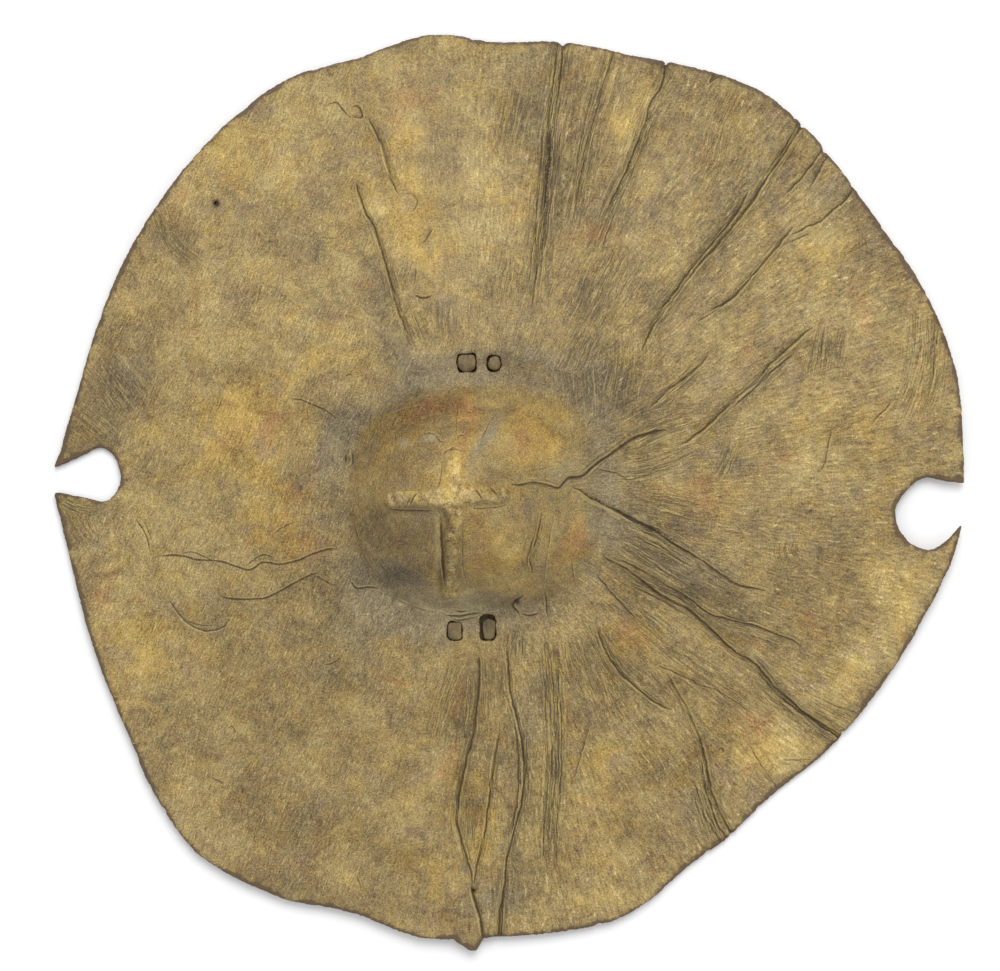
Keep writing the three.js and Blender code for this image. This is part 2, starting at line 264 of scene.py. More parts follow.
def ridge_height(x, y):
    """The raised cross, with flat-topped arms and fairly crisp edges."""
    cross = np.zeros_like(x)
    ragged = 1.3 * value_noise(x, y, 7, 44) + 0.6 * value_noise(x, y, 3, 45)
    for end, half_width, height, softness in RIDGES:
        distance, along = to_segment(x, y, APEX, end)
        reach = half_width * (1.08 - 0.3 * along) + ragged
        cross = np.maximum(cross, height * smooth((reach - np.abs(distance)) / softness + 0.5))
    return cross


# ---- Creases, cracks and scars in the face -------------------------------------------------

# Each crease is a smooth path with a width, a depth, how high its lip is beside it, which
# side the lip is on (1 is left of the path's direction) and how strongly it is drawn: the dark of
# dirt and painted shade in it, and the painted highlight on its lip.
creases = []

# Bands of hairline wrinkles that follow the creases: path, half width and strength.
bands = []
BAND_SHIFT = 37.0                       # sets each band's hairlines apart from the next band's


def past_rim(path):
    """The path again, run on past the rim at an end that reaches it."""
    reach = 14
    overrun = 20
    for end, before in ((0, 2), (-1, -3)):
        step = path[end] - path[before]
        step = step / np.linalg.norm(step)
        angle = math.atan2(path[end, 1] - BOSS[1], path[end, 0] - BOSS[0])
        room = outline_radius(np.array([angle]))[0] - np.linalg.norm(path[end] - BOSS)
        if room < reach:
            run = [path[end] + overrun * step]
            path = np.vstack([run, path]) if end == 0 else np.vstack([path, run])
    return path


def crease(points, width, depth, lip=0.35, side=1, dark=0.8, wander=0.7):
    """One crease through the points."""
    path = past_rim(catmull_rom(points, 4))
    creases.append({"path": path, "width": width, "depth": depth, "lip": lip, "side": side,
                    "dark": dark, "wander": wander})
    if dark >= 0.75 and len(points) > 6:                    # a long and strong crease
        bands.append((path, 5.5, 0.8))


def bundle(points, count, spread, width, depth, dark=0.6, seed=0):
    """Fine wrinkles that run together along one path, each over a stretch of its own."""
    rng = np.random.default_rng(SEED + 100 + seed)
    middle = catmull_rom(points, 5)
    along = np.linspace(0, 1, len(middle))
    tangent = np.gradient(middle, axis=0)
    tangent /= np.linalg.norm(tangent, axis=1)[:, None]
    normal = np.c_[-tangent[:, 1], tangent[:, 0]]
    bands.append((past_rim(middle), 1.5 * spread + 1.5, min(1.0, 0.35 + 1.1 * dark)))
    for k in range(count):
        place = (k + 0.5) / count * 2 - 1 + rng.uniform(-1.1, 1.1) / count
        drift = rng.uniform(-0.9, 0.9)
        offset = spread * (place + drift * (along - 0.5) + 0.08 * np.sin(9 * along + 6 * rng.random()))
        first = rng.uniform(0, 0.4)
        last = rng.uniform(0.6, 1)
        part = (along >= first) & (along <= last)
        if part.sum() < 3:
            continue
        path = past_rim((middle + normal * offset[:, None])[part])
        strength = rng.uniform(0.5, 1.1)
        creases.append({"path": path, "width": width * rng.uniform(0.8, 1.2),
                        "depth": 0.8 * depth * strength, "lip": 0.5, "side": rng.choice([-1, 1]),
                        "dark": 0.85 * dark * strength, "wander": 0.9})


# Upper right: the long double crease and its neighbours.
crease([(180, 225), (171, 211), (160, 195), (151, 180), (140, 166), (129, 153), (119, 142), (110, 131),
        (101, 119), (92, 107), (87, 99), (80, 82)], 1.3, 1.7, 0.5, 1, 0.95)
crease([(150, 190), (142, 174), (131, 160), (121, 148), (112, 137), (103, 124), (94, 112), (86, 100)],
       1.1, 1.3, 0.5, 1, 0.85)
crease([(176, 223), (168, 209), (159, 197)], 1.0, 0.9, dark=0.6)
crease([(192, 209), (184, 198), (175, 188), (167, 180)], 0.9, 1.1, dark=0.8)
crease([(196, 206), (190, 195), (183, 182)], 0.7, 0.8, dark=0.7)
crease([(212, 187), (208, 180), (200, 174), (192, 167), (181, 162), (170, 156)], 0.9, 1.2, dark=0.85)
crease([(179, 166), (170, 157), (164, 149), (157, 141), (149, 132), (141, 123), (133, 116), (125, 112),
        (119, 107)], 0.9, 1.2, 0.4, 1, 0.8)
crease([(190, 161), (180, 157), (171, 153), (165, 149)], 0.8, 0.7, dark=0.55)
crease([(143, 124), (128, 112), (117, 105), (110, 101)], 0.8, 0.6, dark=0.5)
crease([(97, 264), (94, 250), (87, 239), (84, 226), (79, 215), (75, 203), (69, 190), (64, 180),
        (58, 168)], 1.0, 1.2, 0.6, -1, 0.75)
crease([(88, 228), (82, 214), (77, 202), (71, 188), (66, 178)], 0.7, 0.7, 0.5, -1, 0.55)
bundle([(97, 255), (88, 238), (80, 216), (70, 190), (58, 162), (48, 135)], 6, 5, 0.6, 0.5, 0.45, 1)
crease([(130, 256), (126, 254), (122, 250), (123, 251.5)], 0.8, 0.8, dark=0.7)
bundle([(138, 243), (129, 222), (124, 200), (112, 180)], 4, 7, 0.7, 0.3, 0.3, 2)
bundle([(151, 222), (146, 205), (139, 186)], 3, 4, 0.7, 0.35, 0.3, 3)

# Top: two bundles of fine folds that run down to the boss.
bundle([(34, 271), (31, 250), (27, 225), (25, 200), (22, 172), (19, 145), (16, 112)], 9, 6, 0.8, 0.8,
       0.65, 4)
crease([(27, 232), (26, 214), (24, 190), (21, 165), (19, 148), (16, 128), (14, 108)], 1.1, 1.1, 0.5, 1,
       0.75)
crease([(33, 268), (31.5, 250), (29, 232), (27.5, 212)], 0.9, 1.0, 0.5, -1, 0.7)
crease([(62, 262), (56, 242), (50, 220), (45, 196), (40, 172)], 0.8, 0.9, 0.5, 1, 0.5)
bundle([(62, 262), (54, 236), (47, 208), (40, 176), (35, 150)], 7, 6, 0.7, 0.6, 0.5, 5)
bundle([(74, 160), (62, 136), (50, 108), (40, 90)], 8, 12, 0.7, 0.4, 0.35, 6)
bundle([(2, 150), (-2, 132), (-6, 112)], 4, 6, 0.7, 0.35, 0.35, 7)
bundle([(56, 112), (48, 92), (40, 74), (32, 60)], 4, 10, 0.7, 0.35, 0.35, 53)
bundle([(-40, 122), (-40, 104), (-38, 88)], 4, 8, 0.7, 0.3, 0.3, 54)
bundle([(7, 262), (2, 236), (-6, 200)], 4, 9, 0.8, 0.3, 0.3, 8)

# Upper left: the long crease, the looped scars and the line that ends in a ring.
crease([(-94, 195), (-92, 185), (-88, 173), (-83, 164), (-79, 152), (-75, 140), (-72, 128), (-69, 117),
        (-65, 105), (-60, 93)], 1.2, 1.5, 0.5, -1, 0.95)
crease([(-88, 235), (-84, 226), (-80, 218), (-77, 211), (-75, 203), (-72, 193), (-69, 185), (-64, 180)],
       0.9, 1.0, 0.4, -1, 0.75)
crease([(-77, 212), (-72, 219), (-68, 224)], 0.8, 0.5, dark=0.4)
crease([(-99, 233), (-95, 238), (-91, 236), (-90, 231), (-94, 231), (-99, 233.5)], 0.7, 0.8, dark=0.75)
crease([(-114, 234), (-110, 239), (-106, 240), (-102, 235), (-99, 232), (-93, 229)], 0.7, 0.7, dark=0.6)
crease([(-66, 180), (-62, 183), (-57, 181), (-56, 176), (-60, 172), (-64, 175)], 0.9, 0.7, dark=0.45)
crease([(-56, 140), (-57, 131), (-58, 124)], 0.8, 0.7, 0.6, 1, 0.5)
crease([(-59, 122), (-55, 119), (-50, 118.5), (-45, 121)], 0.9, 1.1, 0.7, 1, 0.85)
crease([(-45, 164), (-49, 157), (-53, 152), (-57, 153)], 0.8, 0.7, 0.5, 1, 0.6)
bundle([(-64, 116), (-58, 98), (-52, 86)], 3, 5, 0.8, 0.5, 0.45, 9)
bundle([(-215, 172), (-206, 152), (-192, 140), (-182, 133)], 4, 5, 0.9, 0.4, 0.35, 10)
crease([(-120, 156), (-110, 155.5), (-101, 156)], 0.6, 0.3, dark=0.35)
crease([(-150, 130), (-153, 121), (-155, 113)], 0.6, 0.3, dark=0.35)
crease([(-100, 70), (-97, 72), (-94, 70)], 0.6, 0.5, dark=0.5)

# Right: cracks that leave the boss, and the crease that runs up to the right.
crease([(-2, 6), (5, 4.3), (11, 4.8), (17, 5.3), (24, 3.6), (29.5, 2.3), (33, 5.5), (36, 8.4), (41, 9),
        (46, 10.8), (54, 17.6), (62, 23), (70.5, 29), (77, 33), (90, 37), (100, 38)], 1.1, 2.2, 0.3, 1,
       1.1, 0.3)
crease([(50, 14), (57, 13.5), (66, 11), (76, 6)], 0.7, 0.8, dark=0.6)
crease([(34, 4), (40, 2.5), (44, 1), (49, -3), (55, -6), (63, -10), (74, -16), (84, -21), (96, -27)], 1.0,
       1.2, 0.3, -1, 0.85)
bundle([(58, 14), (80, 14), (110, 24), (125, 34)], 6, 6, 0.7, 0.5, 0.45, 11)
crease([(190, 104), (180, 96), (170, 87), (160, 78), (150, 67), (140, 58), (130, 49), (121, 40),
        (112, 33), (102, 27)], 1.3, 1.6, 0.5, 1, 0.95)
crease([(180, 89), (168, 79), (159, 72), (151, 64), (143, 57), (134, 50)], 1.0, 1.1, 0.4, -1, 0.75)
bundle([(184, 96), (166, 80), (148, 63), (130, 47)], 4, 4, 0.7, 0.6, 0.5, 12)
crease([(126, 88), (119, 80), (112, 73), (105, 68), (98, 63), (90, 55), (82, 49)], 1.1, 1.2, 0.4, 1, 0.7)
bundle([(122, 82), (108, 69), (94, 57), (80, 47)], 5, 5, 0.7, 0.5, 0.45, 13)
bundle([(256, 104), (255, 82), (250, 62), (243, 46), (236, 34)], 8, 8, 0.8, 0.6, 0.45, 14)
bundle([(265, 92), (262, 68), (256, 50), (250, 38)], 5, 5, 0.8, 0.5, 0.45, 15)
crease([(241, 61), (234, 53), (227, 46), (220, 37)], 0.8, 0.8, dark=0.6)
bundle([(197, 110), (194, 95), (191, 80), (188, 64)], 5, 5, 0.8, 0.7, 0.5, 16)
bundle([(209, 108), (204, 92), (199, 72)], 4, 5, 0.7, 0.5, 0.4, 17)
crease([(200, 43), (197, 32), (194, 18), (187, 7)], 0.9, 0.7, dark=0.55)
bundle([(142, 42), (137, 28), (131, 13), (122, 1)], 4, 4, 0.7, 0.6, 0.5, 18)
bundle([(172, -25), (170, -38), (176, -46)], 4, 7, 0.7, 0.4, 0.35, 19)
bundle([(227, -48), (223, -60)], 3, 4, 0.7, 0.4, 0.35, 20)
crease([(47, 38), (50, 43), (54, 46), (58, 46)], 0.7, 0.7, dark=0.6)
bundle([(42, 92), (46, 62), (44, 34)], 6, 12, 0.7, 0.3, 0.3, 21)
bundle([(66, 108), (70, 84), (66, 60), (62, 40)], 6, 14, 0.8, 0.35, 0.3, 22)

bundle([(62, 22), (84, 36), (104, 44), (126, 50)], 5, 8, 0.7, 0.4, 0.4, 48)
bundle([(64, 0), (86, -6), (108, -12), (128, -16)], 5, 8, 0.7, 0.4, 0.4, 49)

# Lower right: the big bundle that reaches the rim.
crease([(54, -37), (68, -45), (80, -53), (90, -61), (100, -67), (110, -72), (120, -80), (130, -90),
        (140, -99), (150, -104), (158, -113), (165, -121), (175, -130), (185, -138), (195, -144),
        (206, -151)], 1.4, 2.0, 0.5, 1, 1.0)
crease([(62, -39), (80, -47), (100, -59), (112, -66), (122, -74), (135, -78), (150, -82), (163, -87),
        (176, -92), (184, -97)], 1.0, 1.2, 0.4, 1, 0.75)
crease([(58, -8), (74, -15), (90, -24), (105, -34), (120, -43), (132, -52), (145, -58), (162, -61)],
       1.1, 1.4, 0.4, 1, 0.85)
bundle([(62, -12), (84, -24), (104, -36), (128, -50)], 7, 6, 0.7, 0.7, 0.55, 23)
bundle([(58, -26), (76, -36), (98, -50), (122, -66)], 5, 6, 0.7, 0.6, 0.5, 24)
bundle([(62, -45), (84, -57), (104, -67), (122, -78)], 6, 5, 0.8, 0.8, 0.6, 25)
bundle([(120, -72), (136, -80), (156, -86), (178, -94)], 4, 4, 0.7, 0.5, 0.4, 26)
crease([(151, -107), (160, -118), (169, -128), (179, -135), (190, -142), (200, -149)], 1.0, 1.3, 0.3, -1,
       0.85)
bundle([(146, -106), (160, -122), (176, -136), (196, -150)], 6, 5, 0.8, 0.8, 0.55, 27)
bundle([(178, -124), (195, -134), (211, -141)], 5, 6, 0.7, 0.6, 0.4, 28)
crease([(51, -47), (60, -58), (70, -69), (81, -81)], 0.8, 0.8, dark=0.6)
bundle([(58, -54), (72, -68), (92, -86), (104, -96)], 5, 7, 0.7, 0.5, 0.4, 29)
crease([(84, -103), (100, -110), (115, -117), (130, -123), (141, -130), (152, -138)], 0.9, 0.8, dark=0.5)
bundle([(90, -92), (112, -108), (136, -124), (156, -138)], 5, 6, 0.7, 0.5, 0.4, 30)
crease([(53, -80), (57, -92), (63, -103), (70, -112), (80, -121), (90, -129), (105, -136)], 1.1, 1.3,
       0.4, -1, 0.75)
bundle([(46, -72), (56, -94), (70, -112), (88, -126)], 7, 5, 0.7, 0.7, 0.55, 31)
crease([(96, -108), (100, -117), (107, -128), (112, -140), (118, -152), (121, -163), (123, -175),
        (126, -187), (131, -200), (137, -210)], 1.2, 1.5, 0.5, 1, 0.9)
crease([(119, -162), (120, -176), (124, -192), (128, -204), (134, -213)], 0.9, 1.0, dark=0.75)
crease([(113, -176), (118, -189), (121, -200), (126, -208), (131, -216)], 0.9, 1.0, dark=0.7)
bundle([(117, -170), (121, -188), (128, -208)], 4, 6, 0.7, 0.6, 0.45, 32)
crease([(145, -150), (152, -162), (161, -176)], 0.8, 0.6, dark=0.45)
crease([(129, -160), (131, -158), (132, -160), (130, -161)], 0.6, 0.6, dark=0.6)
crease([(165, -165), (171, -165)], 0.6, 0.5, dark=0.5)

# Bottom: the creases that run down to the torn tab.
crease([(-18, -94), (-18, -108), (-18.5, -122), (-20, -138), (-22, -152), (-26, -165), (-29, -178),
        (-31, -192), (-31.8, -203), (-29, -214), (-25.7, -225), (-22.5, -236), (-21.5, -246)], 1.2, 1.5,
       0.4, 1, 0.85)
crease([(-5, -144), (-8, -160), (-10, -175), (-12, -190), (-14, -205), (-17, -220), (-20, -233),
        (-21, -246)], 1.2, 1.6, 0.6, -1, 0.85)
crease([(-22.6, -238), (-22.6, -244), (-19.8, -254), (-17.5, -262), (-15.5, -273)], 1.0, 2.2, 0.8, -1, 1.1,
       0.2)
crease([(-1, -91), (-0.5, -106), (1, -122), (4, -133), (7, -145), (9, -157), (10, -170), (9, -185), (7, -196),
        (4, -206), (1, -218), (-1, -228), (-2, -238), (-3.5, -252), (-5, -268)], 1.2, 1.5, 0.5, -1,
       0.85)
crease([(3, -135), (6, -158), (6, -180), (4, -198), (1, -214)], 0.9, 1.0, 0.5, 1, 0.7)
bundle([(6, -130), (9, -155), (9, -185), (3, -212)], 4, 4, 0.7, 0.6, 0.5, 33)
crease([(-3, -246), (-5, -257), (-6, -268)], 1.2, 1.3, 0.4, 1, 0.8)
crease([(0, -240), (-3, -250), (-4, -262)], 0.8, 0.8, dark=0.55)
bundle([(24, -80), (25, -98), (27, -125), (28, -155), (27, -185), (25, -215), (27, -240)], 8, 5, 0.8,
       0.8, 0.6, 34)
bundle([(31, -84), (34, -104), (38, -120)], 4, 4, 0.7, 0.5, 0.4, 35)
crease([(52, -138), (47, -152), (43, -166), (39, -180)], 0.9, 0.7, dark=0.5)
bundle([(6, -78), (4, -92), (3, -108)], 4, 5, 0.8, 0.6, 0.5, 36)
bundle([(-24, -92), (-32, -112), (-42, -140), (-46, -165)], 4, 6, 0.8, 0.35, 0.3, 37)
bundle([(42, -76), (48, -100), (58, -126), (66, -150)], 4, 7, 0.8, 0.4, 0.35, 50)
bundle([(-16, -94), (-15, -120), (-16, -150)], 4, 6, 0.8, 0.4, 0.35, 51)
bundle([(-20, -186), (-22, -206), (-24, -230)], 4, 6, 0.8, 0.5, 0.4, 52)
bundle([(-22, -100), (-24, -130), (-30, -160)], 4, 5, 0.8, 0.5, 0.45, 38)
crease([(-56, -147), (-50, -148), (-45, -147)], 0.6, 0.3, dark=0.35)

# Left: wavy creases that run out from the boss.
crease([(-220, -40), (-204, -39), (-189, -42), (-178, -42), (-171, -44), (-160, -47.5), (-155, -46),
        (-150, -43), (-140, -44), (-130, -42.5), (-120, -38), (-111, -35), (-100, -34)], 0.9, 0.9, 0.5, 1,
       0.74, 0.6)
crease([(-164, -46), (-157, -43), (-150.5, -38.5), (-144, -40), (-138, -41.5)], 0.8, 0.7, dark=0.6)
crease([(-206, -40), (-196, -37), (-186, -40), (-178, -45), (-170, -47)], 0.8, 0.6, dark=0.5)
crease([(-181, -62), (-172, -65), (-159, -66), (-150, -65), (-142, -62), (-130, -55), (-120, -50.5),
        (-111, -48)], 1.0, 1.1, 0.4, 1, 0.74, 0.5)
crease([(-124, -48), (-116, -52), (-108, -56), (-100, -58)], 0.8, 0.8, dark=0.55)
crease([(-110, -46), (-112, -50), (-108, -52)], 0.8, 0.6, dark=0.5)
crease([(-100, -52), (-96, -55), (-92, -59), (-84, -58), (-76, -60)], 0.9, 1.1, 0.4, 1, 0.75)
crease([(-146, -28), (-140, -23), (-132, -19), (-124, -17)], 0.9, 0.6, dark=0.45)
crease([(-211, -62), (-206, -70), (-199, -79), (-190, -84), (-181, -85), (-174, -82), (-170, -76),
        (-169, -72)], 1.1, 0.7, 0.5, -1, 0.62)
crease([(-204, -74), (-196, -80), (-186, -82), (-178, -81)], 0.8, 0.5, 0.5, -1, 0.4)
crease([(-231, -11), (-228, -18), (-223.5, -25), (-221, -36), (-222, -41)], 1.5, 0.9, 0.5, -1, 0.62)
crease([(-227, -14), (-222, -22), (-219, -32)], 1.0, 0.6, 0.5, -1, 0.45)
crease([(-137, 58), (-127, 56), (-118, 53), (-110, 49), (-100, 42)], 0.8, 0.8, dark=0.6)
crease([(-116, -105), (-110, -105), (-104, -102), (-101, -97)], 0.8, 0.7, dark=0.5)
crease([(-118, -128), (-105, -115), (-96, -104)], 0.9, 0.4, dark=0.3)
bundle([(-277, -4), (-268, -9), (-256, -12), (-246, -10)], 5, 4, 0.7, 0.5, 0.5, 39)
bundle([(-268, -12), (-262, -24), (-254, -34)], 6, 9, 0.7, 0.3, 0.3, 40)
bundle([(-262, 45), (-250, 36), (-242, 28)], 6, 9, 0.7, 0.35, 0.4, 41)
bundle([(-250, 76), (-238, 60), (-226, 44)], 6, 12, 0.8, 0.3, 0.35, 42)
crease([(-186, -175), (-178, -178), (-174, -181)], 0.7, 0.6, dark=0.6)
crease([(-94, -235), (-92, -240), (-90, -246)], 0.9, 0.6, dark=0.45)
crease([(-173, -147), (-170, -144), (-168, -148), (-171, -150)], 1.0, 0.5, dark=0.5)

# On the boss: the groove under the right panel, the fold beside the lower panel, nicks.
crease([(-18, 13), (-10, 10.5), (-2, 9), (5, 6), (9, 4)], 2.6, 1.3, 0.2, 1, 0.35)
crease([(-19, 20), (-16, 29), (-11.5, 39), (-6, 47), (-2, 52)], 2.4, 1.3, 0.2, 1, 0.15)
crease([(20, -8), (19, -16), (17.5, -24), (15, -32), (12.5, -40), (14, -46), (14.5, -53)], 1.1, 1.5, 0.5,
       -1, 0.8, 0.3)
crease([(17, -22), (13, -33), (11, -41), (12.5, -50)], 0.8, 0.7, dark=0.5)
crease([(13, -6), (13, -14), (12, -22)], 0.8, 0.5, dark=0.4)
crease([(27, -8), (27, -16), (24, -30), (22, -46), (21, -62)], 1.0, 0.6, 0.5, 1, 0.35)
crease([(38, -41), (39, -48), (40, -55)], 0.7, 0.5, dark=0.5)
crease([(12, -61), (7, -64), (3, -67), (3, -70), (6, -73), (6, -78)], 1.3, 1.8, 0.4, 1, 0.9, 0.3)
crease([(6, -73), (12, -75), (17, -74), (20, -72)], 0.9, 1.0, dark=0.75)
crease([(21, -58), (23, -68), (24, -80)], 1.0, 0.9, 0.4, -1, 0.6)
crease([(-33.5, -71), (-29, -73), (-24, -71.5)], 0.8, 0.8, dark=0.7, wander=0.1)
crease([(-37, -76), (-30, -78), (-22, -76.5), (-17, -75)], 0.9, 0.8, dark=0.6, wander=0.3)
crease([(-54, 0), (-57, -4), (-59, -9)], 0.7, 1.0, 0.6, 1, 0.8, 0.1)
crease([(-57, -2), (-60, -6), (-61, -9)], 0.6, 0.7, 0.5, 1, 0.6, 0.1)
crease([(-20, 2), (-17, -2), (-15, -5)], 0.6, 0.8, 0.6, 1, 0.7, 0.1)
crease([(-12, 4), (-9, 0.5), (-6, -2.5)], 0.6, 0.9, 0.8, 1, 0.75, 0.1)
crease([(-33, 10), (-33, 8)], 0.5, 0.6, dark=0.7)
crease([(-70, 1), (-62, 1), (-52, 1.5), (-44, 3)], 1.1, 0.6, 0.3, -1, 0.35, 0.3)
crease([(-93, -18), (-92, -26), (-88, -31)], 0.9, 0.7, dark=0.5)
crease([(-79, -41), (-76, -46), (-72, -49)], 1.0, 0.6, dark=0.5)
crease([(-96, 26), (-94.5, 20), (-96, 14)], 1.2, 1.3, 0.3, -1, 0.8, 0.2)
crease([(-99, 23), (-99, 17)], 1.4, 1.2, 0.2, 1, 0.7, 0.2)
crease([(-67, 46), (-70, 41), (-71, 37)], 0.8, 0.6, dark=0.45)
crease([(-100, 42), (-97, 36), (-99, 30)], 0.7, 0.5, dark=0.4)
crease([(-30, 62), (-31, 45), (-32, 30), (-34, 24)], 1.2, 0.9, 0.3, 1, 0.3, 0.4)
crease([(-36, 24), (-34, 26), (-31, 27)], 0.6, 0.6, dark=0.5)
crease([(-26, 49), (-24, 47.5), (-21, 48)], 0.6, 0.5, 0.8, 1, 0.5)
crease([(-40.5, -11), (-39.8, -25), (-39.5, -40), (-38.5, -52), (-37.5, -60)], 1.0, 1.4, 0.6, -1, 0.8, 0.5)
crease([(-77, -9), (-68, -10.5), (-58, -11), (-49, -11), (-41, -10.5)], 1.0, 1.0, 0.8, 1, 0.65, 0.3)
crease([(-39.5, 21), (-40, 10), (-42, 3), (-48, 2)], 0.8, 0.6, 0.5, 1, 0.4, 0.4)
crease([(-27, -9), (-15, -9.5), (-3, -8), (3, -3)], 0.9, 0.7, 0.5, 1, 0.45, 0.4)
crease([(-27, -14), (-27.5, -30), (-27, -46), (-24, -58)], 0.8, 0.5, 0.4, -1, 0.4, 0.5)
crease([(-44, -73), (-35, -75.5), (-26, -75), (-18, -73.5), (-12, -75)], 1.1, 1.2, 0.7, 1, 0.8, 0.4)
crease([(-78, -60), (-66, -66), (-54, -71), (-44, -73)], 1.0, 0.7, 0.6, 1, 0.4, 0.5)
crease([(-92, -24), (-88, -38), (-81, -50), (-72, -58)], 0.9, 0.6, 0.4, 1, 0.35, 0.5)
crease([(-60, -46), (-54, -50), (-50, -56)], 0.8, 0.4, 0.4, 1, 0.35, 0.6)
crease([(-68, -50), (-60, -54), (-52, -60)], 0.8, 0.4, 0.4, 1, 0.35, 0.6)
crease([(-40, 18), (-37.5, 24), (-30, 25.5), (-25, 22)], 0.7, 0.6, 0.6, 1, 0.5, 0.6)
crease([(-32, 31), (-29, 34), (-25, 33)], 0.7, 0.5, 0.8, 1, 0.5, 0.4)
crease([(-74, 46), (-64, 50), (-52, 52), (-40, 51)], 0.8, 0.4, 0.4, 1, 0.3, 0.8)
crease([(26, 34), (30, 28), (36, 25)], 0.7, 0.5, 0.8, 1, 0.4, 0.6)
crease([(8, 12), (20, 14), (30, 18)], 0.7, 0.4, 0.8, 1, 0.3, 0.8)
crease([(33, 12), (38, 20), (39, 30), (36, 44)], 1.0, 0.5, 0.5, 1, 0.25, 0.6)
crease([(-18, 24), (-15.5, 33), (-11, 42), (-5, 51)], 0.8, 0.5, 0.3, 1, 0.45, 0.4)
crease([(-58, 33), (-46, 35), (-40, 30), (-34, 31)], 0.7, 0.4, 0.5, 1, 0.45, 0.5)

# Pits: centre, radius, depth, darkness.
PITS = [
    ((-21.5, -245.5), 1.6, 3.0, 1.0), ((5, -66.5), 2.6, 1.6, 0.9), ((-97.5, 20), 4.0, 1.2, 0.6),
    ((-60, 177.5), 4.5, 0.8, 0.35), ((-140, 15.5), 3.5, 0.4, 0.35), ((-129, 6.5), 2.2, 0.4, 0.45),
    ((-222, -85), 1.2, 0.6, 0.8), ((-174, 63.5), 1.6, 0.4, 0.6), ((-160.5, 18), 1.2, 0.5, 0.6),
    ((-141, 44.5), 1.6, 0.4, 0.5), ((-172, -75.5), 1.8, 0.5, 0.5), ((-235, 7.5), 1.4, 0.8, 0.9),
    ((-110, -55), 2.4, 0.5, 0.6), ((-143, -155), 2.6, 0.5, 0.5), ((17, 1), 1.3, 0.7, 0.8),
    ((50, -3.5), 1.6, 0.8, 0.8), ((55, -5.5), 1.4, 0.8, 0.8), ((-53, -39), 0.9, 0.5, 0.7),
    ((160.5, 44), 1.6, 0.4, 0.5), ((95, -233), 1.3, 0.4, 0.6), ((6, -265), 1.6, 0.5, 0.6),
    ((12, -267), 1.2, 0.5, 0.6), ((-35, 36), 1.1, 0.5, 0.5), ((-27, 34), 1.3, 0.4, 0.3),
    ((-35.5, -17), 1.0, 0.9, 0.8), ((-33, -24), 0.9, 0.9, 0.8), ((-36, -29), 1.3, 1.0, 0.9),
    ((-34, -36), 1.0, 0.9, 0.7), ((-36.5, -42), 1.2, 1.0, 0.8), ((-33.5, -49), 0.9, 0.8, 0.7),
    ((-36, -53), 1.1, 0.9, 0.8), ((-31, -45), 0.8, 0.6, 0.5), ((-33, 9), 0.8, 0.6, 0.7),
    ((47, -1), 1.0, 0.9, 0.9), ((53, -4), 1.2, 0.9, 0.9), ((58, -7), 0.9, 0.7, 0.8),
]

CHANNELS = 3                            # sets of crease attributes, so that neighbours keep apart


def share_out_channels():
    """Give neighbouring creases different channels, so that each keeps a distance of its own."""
    placed = [[] for _ in range(CHANNELS)]
    for line in creases:
        points = line["path"][::2]
        gaps = []
        for others in placed:
            gap = 1e3
            for other in others:
                apart = np.abs(other.mean(0) - points.mean(0)).max()
                reach = np.ptp(other, axis=0).max() + np.ptp(points, axis=0).max()
                if apart < reach:
                    gap = min(gap, np.linalg.norm(points[:, None] - other[None], axis=2).min())
            gaps.append(gap)
        line["channel"] = int(np.argmax(gaps))
        placed[line["channel"]].append(points)


share_out_channels()


def lay_creases(x, y):
    """What the creases and pits do to the face: its height, dirt and painted shade, and lines to draw.

    Each channel holds a signed distance to its nearest crease, and how dark that crease is.
    """
    out = {name: np.zeros_like(x) for name in ("height", "dark", "crease_shade", "detail")}
    for c in range(CHANNELS):
        out[f"line_{c}"] = np.full_like(x, 9.0)
        out[f"force_{c}"] = np.zeros_like(x)
    wander = value_noise(x, y, 6, 1) + 0.5 * value_noise(x, y, 2.5, 2)
    for line in creases:
        width = line["width"]
        path = line["path"]
        margin = 7 * width + 3
        low = path.min(0) - margin
        high = path.max(0) + margin
        near = np.flatnonzero((x > low[0]) & (x < high[0]) & (y > low[1]) & (y < high[1]))
        if not len(near):
            continue
        distance, place, length = to_path(x[near], y[near], path)
        distance = distance + line["wander"] * wander[near] * 0.6
        fade = min(11.0, 0.35 * length)
        taper = smooth(place / fade) * smooth((length - place) / fade)
        off_end = np.exp(-np.maximum(0, np.abs(distance) - 6 * width))
        groove = bell(distance, width) * taper
        beside = bell(distance * line["side"] - 2.0 * width, 1.4 * width) * taper * off_end
        out["height"][near] += line["depth"] * (line["lip"] * beside - groove)
        # Painted shade in the soft hollow round the crease.
        out["crease_shade"][near] += 0.4 * line["dark"] * bell(distance, 3.2 * width) * taper
        out["detail"][near] = np.maximum(out["detail"][near],
                                         (np.abs(distance) < 2.2 * width + 0.5) * (taper > 0.02))
        held = out[f"line_{line['channel']}"]
        force = out[f"force_{line['channel']}"]
        closer = near[np.abs(distance) < np.abs(held[near])]
        chosen = np.abs(distance) < np.abs(held[near])
        held[closer] = (distance * line["side"])[chosen]
        force[closer] = (line["dark"] * taper * (np.abs(distance) < 2.6))[chosen]
    for (cx, cy), radius, depth, darkness in PITS:
        distance = np.hypot(x - cx, y - cy) * (1 + 0.25 * wander)
        out["height"] -= depth * bell(distance, radius)
        # The pits' darkness is painted shade in their hollows.
        out["dark"] = np.maximum(out["dark"], darkness * bell(distance, radius))
        out["detail"] = np.maximum(out["detail"], distance < 2 * radius)
    out["crease_shade"] = np.clip(out["crease_shade"], 0, 1)
    return out


